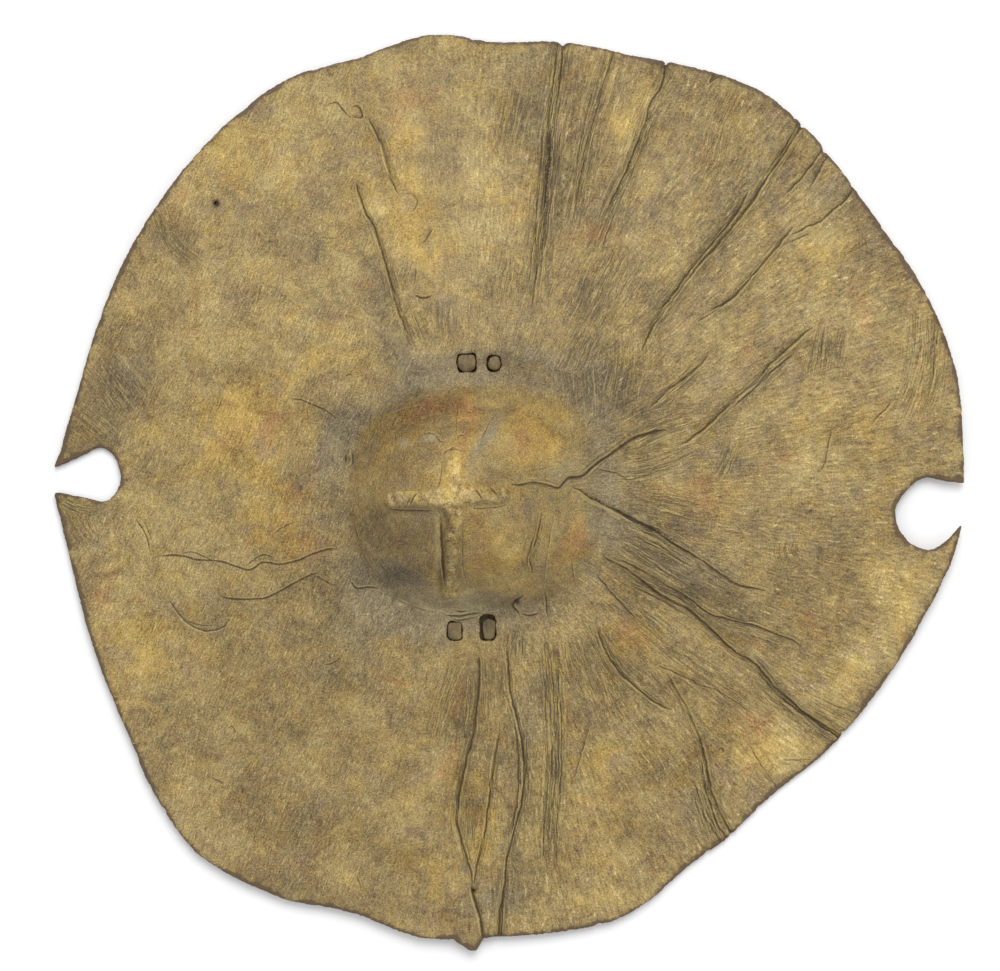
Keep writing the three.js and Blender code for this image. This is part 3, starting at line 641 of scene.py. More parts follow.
def lay_bands(x, y):
    """Places across and along the strongest band of hairlines, in mm, and its strength."""
    across = np.zeros_like(x)
    along = np.zeros_like(x)
    best = np.zeros_like(x)
    rival = np.zeros_like(x)
    for number, (path, half_width, strength) in enumerate(bands):
        margin = 2.2 * half_width
        low = path.min(0) - margin
        high = path.max(0) + margin
        near = np.flatnonzero((x > low[0]) & (x < high[0]) & (y > low[1]) & (y < high[1]))
        distance, place, length = to_path(x[near], y[near], path)
        fade = min(24.0, 0.35 * length)
        here = strength * bell(distance, half_width) * smooth(place / fade)
        here = here * smooth((length - place) / fade)
        wins = here > best[near]
        rival[near] = np.maximum(rival[near], np.where(wins, best[near], here))
        won = near[wins]
        best[won] = here[wins]
        across[won] = distance[wins] + BAND_SHIFT * number
        along[won] = place[wins]
    return {"across": across, "along": along, "band": best * smooth((best - rival) / 0.12)}


# ---- The outline with its notches ------------------------------------------------------------

# Small splits and bites in the rim: a point near it, half width along it and depth.
NICKS = [
    ((97, 264), 0.9, 3.2), ((33, 274), 3.0, 2.6), ((-22, 278), 2.0, 1.0), ((180, 224.5), 1.2, 2.6),
    ((175, 229), 1.6, 1.2), ((193, 208.5), 2.6, 2.2), ((211, 188), 1.6, 1.4), ((229, 161), 2.2, 1.2),
    ((236, 151), 1.6, 1.0), ((206, -148), 1.2, 2.4), ((136, -210), 1.2, 1.2), ((122, -220), 2.6, 1.4),
    ((152, -192), 2.2, 1.2), ((-34, -276), 1.4, 1.0), ((56, -266), 1.6, 1.2), ((38, -268), 1.4, 0.8),
    ((-212, -196), 2.4, 1.3), ((-220, -180), 1.6, 0.9), ((-207, -204), 1.8, 0.8), ((-267, -52), 1.2, 0.7),
    ((-120, 262), 2.6, 0.7), ((-190, 209), 2.0, 0.8), ((118, 259), 2.0, 0.8), ((245, 143), 1.6, 0.7),
]


def inside(points, loop):
    """Which points lie inside a closed loop, by counting the edges to their right."""
    x, y = points[:, 0], points[:, 1]
    count = np.zeros(len(points), int)
    for (ax, ay), (bx, by) in zip(loop, np.roll(loop, -1, axis=0)):
        spans = (ay > y) != (by > y)
        if not spans.any():
            continue
        crossing = ax + (y - ay) / (by - ay + 1e-30) * (bx - ax)
        count += spans & (x < crossing)
    return count % 2 == 1


def resample(loop, spacing):
    """The closed loop again, with points an even distance apart."""
    closed = np.vstack([loop, loop[:1]])
    lengths = np.concatenate([[0], np.cumsum(np.hypot(*np.diff(closed, axis=0).T))])
    count = int(round(lengths[-1] / spacing))
    at = np.linspace(0, lengths[-1], count, endpoint=False)
    return np.c_[np.interp(at, lengths, closed[:, 0]), np.interp(at, lengths, closed[:, 1])]


def rim_outline():
    """The whole cut edge, anticlockwise, with the notches let into it."""
    angle = np.linspace(0, 2 * np.pi, 4000, endpoint=False)
    radius = outline_radius(angle)
    for (x, y), half_width, depth in NICKS:
        at = math.atan2(y - BOSS[1], x - BOSS[0])
        along = (angle - at + np.pi) % (2 * np.pi) - np.pi
        radius -= depth * np.clip(1 - np.abs(along) * radius / half_width, 0, 1)
    loop = BOSS + radius[:, None] * np.c_[np.cos(angle), np.sin(angle)]
    for notch in NOTCHES:
        curve = catmull_rom(notch[1:-1], 12)
        curve = np.vstack([notch[0], curve, notch[-1]])
        keep = ~inside(loop, curve)
        gap = np.flatnonzero(~keep)
        if gap[0] == 0:                 # the notch lies across the loop's first point
            start = np.flatnonzero(keep)[-1]
        else:
            start = gap[0] - 1
        loop = np.roll(loop, -(start + 1), axis=0)
        keep = np.roll(keep, -(start + 1))
        within = curve[inside(curve, loop)]
        if np.hypot(*(within[0] - loop[-1])) > np.hypot(*(within[-1] - loop[-1])):
            within = within[::-1]
        loop = np.vstack([loop[keep], within])
    loop = resample(loop, 0.5)
    for _ in range(6):                  # worn corners
        loop = 0.5 * loop + 0.25 * (np.roll(loop, 1, axis=0) + np.roll(loop, -1, axis=0))
    return resample(loop, EDGE_SPACING)


def rounded_slot(cx, cy, width, length, corner=3.0):
    """A slot's rough-cut edge, clockwise, so that the hide is on its left."""
    quarter = np.linspace(0, np.pi / 2, 7)
    points = []
    corners = ((1, 1, 0), (-1, 1, 1), (-1, -1, 2), (1, -1, 3))
    for right, up, turn in corners:
        centre = np.array([cx + right * (width / 2 - corner), cy + up * (length / 2 - corner)])
        arc = quarter + turn * np.pi / 2
        points.append(centre + corner * np.c_[np.cos(arc), np.sin(arc)])
    edge = resample(np.vstack(points), 0.7)[::-1]
    rough = 0.5 * value_noise(edge[:, 0], edge[:, 1], 2.4, 90)
    away = edge - [cx, cy]
    return edge + away * (rough / np.linalg.norm(away, axis=1))[:, None]


def round_hole(cx, cy, radius):
    angle = np.linspace(0, -2 * np.pi, 16, endpoint=False)
    return np.c_[cx + radius * np.cos(angle), cy + radius * np.sin(angle)]


def outward(loop):
    """The normal at each point of a loop, away from the hide, shorter where the hide is narrow."""
    tangent = np.roll(loop, -1, axis=0) - np.roll(loop, 1, axis=0)
    tangent /= np.linalg.norm(tangent, axis=1)[:, None]
    for _ in range(2):
        tangent += 0.5 * (np.roll(tangent, 1, axis=0) + np.roll(tangent, -1, axis=0))
        tangent /= np.linalg.norm(tangent, axis=1)[:, None]
    normal = np.c_[tangent[:, 1], -tangent[:, 0]]
    edge = np.roll(loop, -1, axis=0) - loop
    reach = np.ones(len(loop))
    for _ in range(12):
        row = loop - 1.3 * normal * reach[:, None]
        moved = np.roll(row, -1, axis=0) - row
        folded = (moved * edge).sum(axis=1) < 0.35 * (edge * edge).sum(axis=1)
        folded |= np.roll(folded, 1)
        for _ in range(2):
            folded |= np.roll(folded, 1) | np.roll(folded, -1)
        reach[folded] *= 0.75
    return normal * reach[:, None]


# ---- Meshing the hide -----------------------------------------------------------------------

EDGE_SPACING = 1.15                     # between points along the cut edge
FINE_SPACING = 1.15                     # on the boss and beside the creases
COARSE_SPACING = 3.0                    # on the rest of the face
BACK_SPACING = 5.5
BOSS_REACH = 1.04                       # how far the fine points go, as a ratio to the boss's foot

# Rows of the cut edge, from the face to the back: distance in from the outermost edge, and
# height as a share of the thickness.
EDGE_ROWS = [(1.1, 1.0), (0.35, 0.93), (0.0, 0.72), (0.05, 0.45), (0.0, 0.2), (0.7, 0.0)]


def scattered(spacing, seed):
    """Points of a triangular lattice over the shield, each moved a little at random."""
    low, high = [np.array(corner[:2]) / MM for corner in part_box("hide_body")]
    rows = np.arange(low[1], high[1], spacing * math.sqrt(3) / 2)
    columns = np.arange(low[0], high[0], spacing)
    x, y = np.meshgrid(columns, rows)
    x[1::2] += spacing / 2
    rng = np.random.default_rng(SEED + seed)
    points = np.c_[x.ravel(), y.ravel()]
    return points + rng.uniform(-0.22, 0.22, points.shape) * spacing


def clear_of(points, loops, margin):
    """The points that lie in the hide, further than the margin from every edge."""
    angle = np.arctan2(points[:, 1] - BOSS[1], points[:, 0] - BOSS[0])
    radius = np.hypot(points[:, 0] - BOSS[0], points[:, 1] - BOSS[1])
    points = points[radius < outline_radius(angle) + 1]
    nearest_edge = np.full(len(points), 1e9)
    for loop in loops:
        low, high = loop.min(0) - 2 * margin, loop.max(0) + 2 * margin
        chunks = np.array_split(loop, max(1, len(loop) // 60))
        for chunk in chunks:
            box_low, box_high = chunk.min(0) - 2 * margin, chunk.max(0) + 2 * margin
            near = np.flatnonzero(np.all((points > box_low) & (points < box_high), axis=1))
            if len(near):
                gaps = np.linalg.norm(points[near, None] - chunk[None], axis=2).min(1)
                nearest_edge[near] = np.minimum(nearest_edge[near], gaps)
    points = points[nearest_edge > margin]
    keep = inside(points, loops[0])
    for loop in loops[1:]:
        keep &= ~inside(points, loop)
    return points[keep]


def triangulate(loops, points):
    """Triangles over the loops' points, then the inner points, that lie in the hide."""
    flat = np.vstack(loops + [points])
    edges = []
    start = 0
    owner = np.full(len(flat), -1)
    for k, loop in enumerate(loops):
        count = len(loop)
        edges += [(start + i, start + (i + 1) % count) for i in range(count)]
        owner[start:start + count] = k
        start += count
    made = delaunay_2d_cdt([tuple(p) for p in flat], edges, [], 0, 1e-7, False)
    if len(made[0]) != len(flat):
        raise RuntimeError("the edge of the hide crosses itself")
    triangles = np.array(made[2])
    owners = owner[triangles]
    doubtful = (owners >= 0).all(axis=1)
    middle = flat[triangles[doubtful]].mean(axis=1)
    keep = inside(middle, loops[0])
    for loop in loops[1:]:
        keep &= ~inside(middle, loop)
    chosen = ~doubtful
    chosen[doubtful] = keep
    triangles = triangles[chosen]
    a, b, c = flat[triangles[:, 0]], flat[triangles[:, 1]], flat[triangles[:, 2]]
    area = (b[:, 0] - a[:, 0]) * (c[:, 1] - a[:, 1]) - (b[:, 1] - a[:, 1]) * (c[:, 0] - a[:, 0])
    triangles[area < 0] = triangles[area < 0][:, ::-1]
    return flat, triangles


def boss_panels(x, y, ratio):
    """The panels between the arms of the cross, which are crisper than the boss itself."""
    high_up = smooth((0.97 - ratio) / 0.2)
    uneven = 0.8 * value_noise(x, y, 9, 40) + 0.4 * value_noise(x, y, 4, 41)
    # Lower left: a smooth hollow with a steep wall against the lower arm.
    hollow = smooth((-42.5 + uneven - x) / 3.5) * smooth((-8.5 + uneven - y) / 3.5)
    height = -2.6 * hollow * high_up
    rim, _ = to_segment(x, y, (-43.5, -16), (-42, -62))
    height += 0.8 * bell(rim, 1.6) * high_up
    # Upper right: a full panel between the valley and the slanting groove.
    valley, _ = to_segment(x, y, (9, 5), (-18, 13))
    groove, _ = to_segment(x, y, (-19, 20), (0, 56))
    side = smooth((38 + 2 * uneven - x - 0.12 * (y - 30)) / 6)
    floor_line = 10 - 0.18 * (x + 18) + 0.75 * np.maximum(0, x - 6)
    above = smooth((y - floor_line + 4 + 2 * uneven) / 16)
    height += 2.0 * above * side * smooth((x + 15 - 0.45 * (y - 20)) / 5) * high_up
    # Lower right: a rounder panel that ends at the fold.
    fold, _, _ = to_path(x, y, np.array([(21, -4), (19, -16), (17, -26), (12.5, -40), (14.5, -56)]))
    height += 1.8 * smooth((-fold + 0.5) / 3) * smooth((x + 31) / 5) * smooth((-4 - y) / 12) * high_up
    # The rounded foot of the lower arm, and the ledge under it.
    height += 2.4 * bell(np.hypot((x + 29) / 1.15, y + 64.5), 7.5)
    ledge, _ = to_segment(x, y, (-42, -72), (-18, -74))
    height -= 1.3 * bell(ledge, 1.6)
    flap, _ = to_segment(x, y, (4, -66), (20, -60))
    height += 1.8 * bell(flap, 5)
    # The upper arm runs on as a low stripe.
    stripe, _ = to_segment(x, y, (-30, 18), (-25, 60))
    height += 1.3 * smooth((6 - np.abs(stripe)) / 2.5) * high_up
    return height


def face_detail(x, y):
    """The finished height of the face, and the masks that colour it."""
    lines = lay_creases(x, y)
    ratio = boss_ratio(x, y)
    on_boss = smooth((1.1 - ratio) / 0.2)
    brim = 1 - on_boss
    soft = 0.5 * value_noise(x, y, 34, 3) + 0.22 * value_noise(x, y, 13, 4)
    rough = 0.10 * value_noise(x, y, 5, 5) + 0.05 * value_noise(x, y, 2.2, 6)
    cross = ridge_height(x, y)
    knobbly = 0.6 * value_noise(x, y, 2.4, 7) * smooth(cross / 3)
    height = (smooth_face(x, y) + cross + lines["height"] + (soft + rough) * (0.4 + 0.6 * brim)
              + knobbly + boss_panels(x, y, ratio))
    lines["height"] = height
    lines["cross"] = smooth(cross / 4)
    lines["ratio"] = ratio
    lines.update(lay_bands(x, y))
    return lines


def edge_loops():
    """The rim, the slots and the hole as loops, and the normals that point out of the hide."""
    loops = [rim_outline()]
    loops += [rounded_slot(*slot) for slot in SLOTS.values()]
    loops += [round_hole(*NAIL_HOLE)]
    normals = [outward(loop) for loop in loops]
    rim_x, rim_y = loops[0].T
    ragged = 0.22 * value_noise(rim_x, rim_y, 1.6, 20) + 0.35 * value_noise(rim_x, rim_y, 9, 21)
    loops[0] = loops[0] + normals[0] * ragged[:, None]
    return loops, normals


def face_points(loops):
    """Points inside the face's edges: fine on the boss and beside creases, coarse elsewhere."""
    fine = clear_of(scattered(FINE_SPACING, 11), loops, 0.6 * FINE_SPACING)
    coarse = clear_of(scattered(COARSE_SPACING, 12), loops, 0.45 * COARSE_SPACING)
    on_fine = lay_creases(fine[:, 0], fine[:, 1])["detail"] > 0.5
    on_fine |= boss_ratio(fine[:, 0], fine[:, 1]) < BOSS_REACH
    on_coarse = lay_creases(coarse[:, 0], coarse[:, 1])["detail"] < 0.5
    on_coarse &= boss_ratio(coarse[:, 0], coarse[:, 1]) > BOSS_REACH
    return np.vstack([fine[on_fine], coarse[on_coarse]])


def uneven_back(x, y):
    """The height of the back, lumpy wherever it is clear of the ground."""
    height = back_height(x, y)
    lumps = 0.4 * value_noise(x, y, 30, 30) + 0.2 * value_noise(x, y, 9, 31)
    return np.maximum(0, height + smooth(height / 3) * lumps)


def joining_quads(upper, lower, loops):
    """Four-sided faces between two rings of points that each run round every loop."""
    quads = []
    first = 0
    for loop in loops:
        i = first + np.arange(len(loop))
        j = first + (np.arange(len(loop)) + 1) % len(loop)
        quads.append(np.c_[upper[i], lower[i], lower[j], upper[j]])
        first += len(loop)
    return np.vstack(quads)


def make_hide():
    """The skin of the hide: its face, its back, and the cut edge that joins them."""
    loops, normals = edge_loops()
    scales = [1.0] + [0.55] * len(SLOTS) + [0.3]    # how far the rim, slots and hole are rounded
    rows = [[loop - normal * inset * scale for loop, normal, scale in zip(loops, normals, scales)]
            for inset, _ in EDGE_ROWS]
    back_points = clear_of(scattered(BACK_SPACING, 13), rows[-1], 0.45 * BACK_SPACING)
    face_flat, face_triangles = triangulate(rows[0], face_points(rows[0]))
    back_flat, back_triangles = triangulate(rows[-1], back_points)
    looks = face_detail(*face_flat.T)
    lowest_face = 2.5
    face = np.c_[face_flat, np.maximum(lowest_face, looks["height"])]
    back = np.c_[back_flat, uneven_back(*back_flat.T)]

    vertices = [face, back]
    sides = [np.zeros(len(face)), np.ones(len(back))]
    edge_count = sum(len(loop) for loop in loops)
    rings = [np.arange(edge_count)]
    start = len(face) + len(back)
    top_z = face[:edge_count, 2]
    bottom_z = back[:edge_count, 2]
    rng = np.random.default_rng(SEED + 50)
    for row, (_, share) in zip(rows[1:-1], EDGE_ROWS[1:-1]):
        shift = 0.18 * rng.uniform(-1, 1, edge_count)[:, None] * np.vstack(normals)
        z = bottom_z + (top_z - bottom_z) * share + rng.uniform(-0.12, 0.12, edge_count)
        vertices.append(np.c_[np.vstack(row) + shift, z])
        sides.append(np.full(edge_count, 1 - share))
        rings.append(start + np.arange(edge_count))
        start += edge_count
    rings.append(len(face) + np.arange(edge_count))

    quads = np.vstack([joining_quads(upper, lower, loops) for upper, lower in zip(rings, rings[1:])])
    triangles = np.vstack([face_triangles, back_triangles[:, ::-1] + len(face),
                           quads[:, [0, 1, 2]], quads[:, [0, 2, 3]]])
    low, high = [np.array(corner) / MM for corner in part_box("hide_body")]
    vertices = np.clip(np.vstack(vertices), low, high)
    return vertices, triangles, np.concatenate(sides), looks, len(face), edge_count


def new_mesh(name, vertices_mm, faces):
    mesh = bpy.data.meshes.new(name)
    mesh.from_pydata((vertices_mm * MM).tolist(), [], faces.tolist())
    mesh.validate()
    mesh.polygons.foreach_set("use_smooth", [True] * len(mesh.polygons))
    piece = bpy.data.objects.new(name, mesh)
    bpy.context.scene.collection.objects.link(piece)
    return piece


def store(piece, name, values):
    attribute = piece.data.attributes.new(name, "FLOAT", "POINT")
    attribute.data.foreach_set("value", np.asarray(values, np.float32))


def build_hide():
    """The hide, with the masks that its material reads stored on it."""
    vertices, triangles, side, looks, face_count, edge_count = make_hide()
    piece = new_mesh("shield_hide", vertices, triangles)
    rest = len(vertices) - face_count
    looks["boss"] = smooth((1.08 - looks["ratio"]) / 0.2)
    x, y = vertices[:face_count, 0], vertices[:face_count, 1]
    for name, patches in PATCHES.items():
        looks[name] = patch_mask(x, y, patches)
    looks["dust"] += 0.55 * smooth((looks["ratio"] - 0.85) / 0.15) * smooth((1.4 - looks["ratio"]) / 0.35)
    looks["rim"] = edge_distance(vertices[:face_count, :2], vertices[:edge_count, :2])
    for slot_x, slot_y, _, slot_length in SLOTS.values():
        looks["rim"] += 2.4 * smooth(1.5 - np.hypot(x - slot_x, y - slot_y) / slot_length)
    drawn = [f"{kind}_{c}" for kind in ("line", "force") for c in range(CHANNELS)]
    for name in ("dark", "crease_shade", "cross", "boss", "rim", "across", "along", "band", *drawn, *PATCHES):
        store(piece, name, np.concatenate([looks[name], np.zeros(rest)]))
    store(piece, "side", side)
    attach(piece, "root")
    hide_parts("hide_body")
    piece.data.materials.append(hide_material())


# ---- Worn colour ----------------------------------------------------------------------------

# Patches of tone and tint: centre, half length, half width, tilt in degrees and strength.
# Shade is darker below 0 and paler above it. It holds painted light and shade as well as the hide's own tone.
PATCHES = {
    "shade": [
        # Dark round the left notch, painted shade where the hide bends away from the light, and on the left
        # margin.
        (-238, 62, 42, 24, 80, -0.9), (-222, 92, 26, 18, 90, -0.5), (-262, 34, 14, 14, 0, -0.7),
        (-255, -6, 18, 8, 0, -0.8), (-264, -42, 26, 7, 102, -0.4), (-205, 148, 34, 9, -38, -0.35),
        (-155, 105, 30, 15, 0, -0.2), (-200, -75, 34, 12, 0, -0.25), (-150, -62, 40, 12, 5, -0.3),
        # Dark at the foot of the boss, with dirt and painted shade in the hollow round it, and painted shade
        # on the boss's lower left, which faces away from the light.
        (-112, 28, 34, 24, 20, -0.7), (-70, 58, 40, 15, 25, -0.7), (-38, 56, 12, 9, 0, -0.9),
        (-20, 77, 44, 13, 0, -0.6), (8, 68, 16, 9, -15, -0.6), (-78, -28, 38, 24, 0, -0.9),
        (-62, -50, 22, 11, 0, -1.0), (-112, -40, 26, 26, 0, -0.6), (-35, -38, 16, 6, 90, -0.8),
        (-90, -76, 60, 14, 5, -0.4), (12, -3, 34, 7, -8, -0.5), (-12, -80, 14, 9, 90, -0.6),
        (72, 62, 36, 9, 105, -0.8), (50, 100, 30, 30, 0, -0.45), (30, 45, 10, 24, 0, -0.2),
        # Dark along the top folds and the long creases: dirt and painted shade in them.
        (14, 240, 40, 18, 95, -0.75), (26, 190, 40, 9, 80, -0.45), (50, 150, 60, 30, 80, -0.35),
        (-84, 130, 50, 7, 107, -0.5), (128, 150, 60, 10, 50, -0.7), (170, 195, 35, 12, 50, -0.45),
        (112, 215, 22, 12, 70, -0.35), (140, 236, 40, 12, -28, -0.4), (214, 176, 50, 11, -50, -0.4),
        (104, -42, 60, 17, -38, -0.7), (132, -68, 40, 12, -30, -0.5), (70, -70, 30, 14, -45, -0.4),
        (85, -112, 40, 9, -35, -0.35), (108, -185, 30, 11, -60, -0.6), (170, -121, 38, 5, -42, -0.6),
        (200, -35, 22, 16, 0, -0.25), (160, -5, 16, 10, 0, -0.25),
        # Dark below.
        (-27, -170, 60, 5, 95, -0.6), (3, -180, 44, 7, 90, -0.7), (20, -110, 36, 8, 95, -0.45),
        (8, -246, 14, 11, 0, -0.8), (-30, -250, 24, 12, 60, -0.7), (45, -205, 12, 8, 0, -0.35),
        (-100, -112, 50, 22, 25, -0.3), (-135, -150, 22, 10, 30, -0.4), (-125, -200, 45, 25, 0, -0.35),
        (-100, -250, 60, 10, -8, -0.45), (-55, -240, 26, 18, 90, -0.3), (-185, -165, 10, 8, 0, -0.4),
        (-150, -188, 9, 8, 0, -0.4), (-171, -147, 7, 6, 0, -0.4),
        # Pale on the upper left.
        (-140, 225, 34, 14, 110, 0.9), (-112, 245, 24, 16, 0, 0.4), (-188, 176, 22, 15, -30, 0.6),
        (-82, 186, 20, 9, 120, 0.9), (-62, 222, 20, 9, 115, 0.8), (-64, 256, 14, 9, 0, 0.6),
        (-48, 152, 40, 20, 100, 0.5), (-15, 190, 50, 18, 90, 0.35), (-150, 200, 30, 20, 0, 0.35),
        (-178, 122, 34, 20, 40, 0.5), (-148, 92, 30, 12, 30, 0.5), (-242, 126, 34, 8, 68, 0.8),
        (-128, 78, 20, 15, 30, 0.5), (-185, 30, 45, 38, 0, 0.3), (-165, -20, 40, 24, 10, 0.35),
        (-212, -30, 30, 20, 0, 0.3), (-210, 190, 26, 7, 50, 0.4),
        # The cross and the panels of the boss: pale where the cross is worn, a painted highlight on the lit
        # upper face of the left arm and on the wall of the lower left hollow, and painted shadow under the
        # left arm and beside the lower arm.
        # Painted highlight on the lit upper face of the left arm at (-56, -4).
        (-33, 13, 11, 6, 80, 1.1), (-35, -2, 7, 7, 0, 0.9), (-56, -4, 15, 4, 0, 0.9),
        (-13, -2, 13, 4, 0, 0.8), (10, 32, 22, 15, 20, 0.4), (0, -36, 12, 10, 0, 0.3),
        (-61, 31, 6, 4, 0, 0.7), (-47, 33, 7, 4, -20, 0.9), (24, 25, 10, 4, 35, 0.5),
        (-58, 38, 26, 19, 20, -1.15), (-64, 12, 20, 8, 0, -0.5),
        (12, 34, 26, 20, 20, -0.55), (-27, 28, 14, 5, 88, -0.5), (-80, -22, 12, 16, 0, -0.5),
        (-61, -50, 16, 8, 0, -0.4), (3, -38, 8, 5, 60, 1.0), (-5, -27, 8, 2, 50, 0.7),
        (40, -28, 18, 6, 60, 0.5), (34, 18, 12, 8, 30, 0.5), (-29, -65, 8, 7, 0, 0.9),
        # Painted highlight on the wall of the lower left hollow at x -43.5; painted shadow beside the lower
        # arm at x -39 and under the left arm at y -10.8.
        (-43.5, -36, 26, 1.8, 92, 1.4), (-39, -38, 22, 1.6, 90, -1.2), (-58, -10.8, 18, 1.6, 0, -0.8),
        (-34, -47, 12, 2, 90, 0.6), (-47, 32.5, 3.5, 1.8, 10, 1.3), (-62, 30, 3, 2.5, 0, 0.9),
        (-39, -3, 10, 5, 0, 0.4), (-20, 62, 8, 4, 0, -0.5), (-30, 24, 10, 2.4, 90, 0.7),
        (-60, -70, 26, 4, -20, 0.5), (-35, -73.5, 12, 2, 0, 0.7),
        (-20, -71, 12, 6, 0, 0.4), (-24, 46, 10, 3, 90, 0.4), (28, 26, 6, 3, 40, 0.7),
        # Pale on the right and lower right.
        (236, -58, 26, 18, 110, 1.0), (214, -112, 24, 14, 60, 0.9), (192, -136, 16, 9, 30, 0.6),
        (168, -153, 22, 13, 30, 0.9), (148, -180, 18, 12, 45, 0.6), (182, 22, 26, 16, 90, 0.55),
        (205, 80, 50, 30, 90, 0.25), (252, 70, 40, 14, 90, 0.35), (78, 226, 22, 10, 60, 0.9),
        (232, -62, 20, 14, 110, 0.5), (70, 62, 30, 16, 100, -0.5), (82, -45, 26, 14, -38, -0.4),
        (132, 200, 22, 16, 60, -0.45), (-190, -110, 26, 20, 0, -0.45), (165, -20, 24, 10, 0, -0.3),
        (215, 55, 20, 14, 60, 0.3),
        (116, 190, 24, 12, 70, 0.6), (180, 165, 20, 20, 0, 0.3), (195, 125, 30, 20, 45, 0.25),
        (75, -92, 14, 8, 30, 0.35),
        # Pale below.
        (-21, -214, 22, 5, 80, 0.9), (20, -190, 40, 12, 90, 0.35), (50, -180, 40, 16, 100, 0.2),
        (14, -263, 24, 6, 5, 0.5), (105, -222, 16, 8, 45, 0.35), (-220, -110, 40, 24, 70, 0.3),
        (-180, -95, 30, 14, 10, 0.3),
    ],
    "gold": [
        (14, 36, 24, 17, 20, 1.0), (-27, 38, 26, 6, 88, 0.9), (-32, 8, 12, 7, 80, 0.8),
        (-10, 3, 20, 6, 0, 0.6), (-2, -36, 16, 14, 0, 0.8), (-20, -32, 14, 20, 0, 0.5),
        (38, -32, 24, 8, 60, 0.8), (-60, 42, 28, 13, 20, 0.6), (-60, 14, 34, 14, 0, 0.4),
        (-165, 32, 36, 26, 20, 0.9), (-150, 58, 24, 16, 0, 0.5), (-142, -15, 22, 22, 0, 0.8),
        (-112, 85, 20, 12, 60, 0.6), (-60, 170, 30, 14, 100, 0.7), (-72, 218, 24, 12, 110, 0.6),
        (-90, 188, 14, 8, 120, 0.6), (-165, 205, 30, 20, 0, 0.45), (-45, 140, 30, 14, 90, 0.45),
        (75, 228, 24, 10, 60, 0.6), (235, -60, 24, 16, 110, 0.5), (212, -112, 24, 14, 60, 0.45),
        (150, -155, 30, 16, 30, 0.6), (74, -90, 18, 10, 20, 0.8), (215, 30, 50, 30, 90, 0.3),
        (120, 0, 30, 12, 0, 0.5), (180, 135, 30, 20, 30, 0.35), (-240, -120, 40, 22, 70, 0.4),
        (-215, -90, 30, 20, 0, 0.4), (-21, -214, 24, 6, 80, 0.9), (-30, -185, 24, 8, 90, 0.4),
        (55, -190, 50, 28, 90, 0.3), (-50, -230, 20, 16, 0, 0.3), (0, 180, 30, 14, 90, 0.3),
    ],
    "rust": [
        (-157, 36, 22, 9, 30, 0.9), (-186, 98, 12, 9, 0, 0.5), (-128, -12, 16, 15, 60, 0.6),
        (-130, 4, 12, 8, 0, 0.7), (-120, -35, 8, 6, 0, 1.0), (-140, 46, 10, 8, 0, 0.6),
        (7, 34, 14, 12, 20, 0.5), (-26, 50, 10, 7, 90, 1.1), (-27, 30, 8, 4, 90, 0.8),
        (-48, 52, 22, 8, 12, 0.9),
        (-20, -34, 16, 8, 90, 0.5), (38, -30, 20, 7, 60, 0.6), (46, 168, 16, 10, 110, 0.4),
        (56, 158, 8, 8, 0, 0.5), (120, -4, 26, 12, 10, 0.6), (165, 25, 22, 8, 60, 0.45),
        (150, 88, 14, 9, 40, 0.5), (76, 97, 10, 7, 0, 0.6), (52, 22, 11, 6, 20, 0.7),
        (72, -88, 16, 8, 25, 0.8), (148, -142, 14, 10, 60, 0.9), (160, -100, 20, 6, 0, 0.5),
        (190, -80, 14, 14, 0, 0.45), (135, -175, 10, 8, 60, 0.4), (-60, 240, 18, 14, 0, 0.5),
        (-185, 187, 30, 9, 20, 0.35), (215, 110, 30, 10, 110, 0.45), (250, 60, 20, 12, 90, 0.45),
        (235, 125, 16, 8, 100, 0.35), (120, 212, 20, 9, 60, 0.45), (-195, -110, 12, 12, 0, 0.45),
        (-150, -140, 10, 6, 0, 0.5), (-30, -132, 16, 9, 90, 0.45), (-35, -165, 20, 9, 90, 0.35),
        (-20, -200, 16, 5, 85, 0.5), (55, -190, 26, 15, 90, 0.4), (-250, -60, 20, 8, 70, 0.35),
        (-100, 122, 12, 10, 0, 0.45), (-72, -118, 9, 7, 0, 0.4), (60, 245, 20, 8, 70, 0.3),
    ],
    "dust": [
        (-47, 32.5, 4.5, 2.4, 10, 2.0), (-62, 30, 4, 3, 0, 1.4), (-14, 34, 18, 3, 62, 0.4),
        # Painted highlight: the pale grey strip on the wall of the boss's lower left hollow, not dust.
        (-43.5, -36, 24, 1.8, 92, 0.9),
        (-60, -76, 70, 14, 5, 0.9), (-88, -56, 30, 14, 0, 0.6), (-62, -52, 16, 7, -30, 1.0),
        (-74, -46, 8, 5, -45, 1.0), (-30, 82, 42, 10, 0, 0.9), (30, 76, 26, 14, -30, 0.8),
        (-110, 30, 24, 12, 90, 0.8), (62, 60, 30, 15, 100, 0.7), (108, -46, 62, 22, -36, 0.8),
        (25, 190, 60, 12, 85, 0.6), (8, 252, 30, 18, 90, 0.7), (-238, 70, 40, 22, 80, 0.7),
        (-76, 120, 52, 9, 108, 0.6), (-135, 160, 22, 14, 0, 0.35), (-200, 150, 34, 10, -38, 0.6),
        (150, 200, 56, 14, 50, 0.6), (186, 176, 30, 18, 45, 0.5), (214, 168, 40, 14, -50, 0.4),
        (15, -130, 40, 26, 90, 0.5), (0, -210, 50, 13, 92, 0.5), (-6, -250, 20, 15, 0, 0.7),
        (166, -120, 40, 6, -42, 0.9), (-105, -190, 60, 30, 0, 0.35), (-90, -110, 50, 24, 20, 0.45),
        (-180, -70, 40, 10, 0, 0.6), (36, 16, 22, 9, 35, 0.6), (-13, 33, 18, 4, 62, 1.0),
        (120, -190, 30, 14, -60, 0.4), (-140, 16, 13, 8, 0, 0.5), (-128, 5, 7, 5, 0, 0.7),
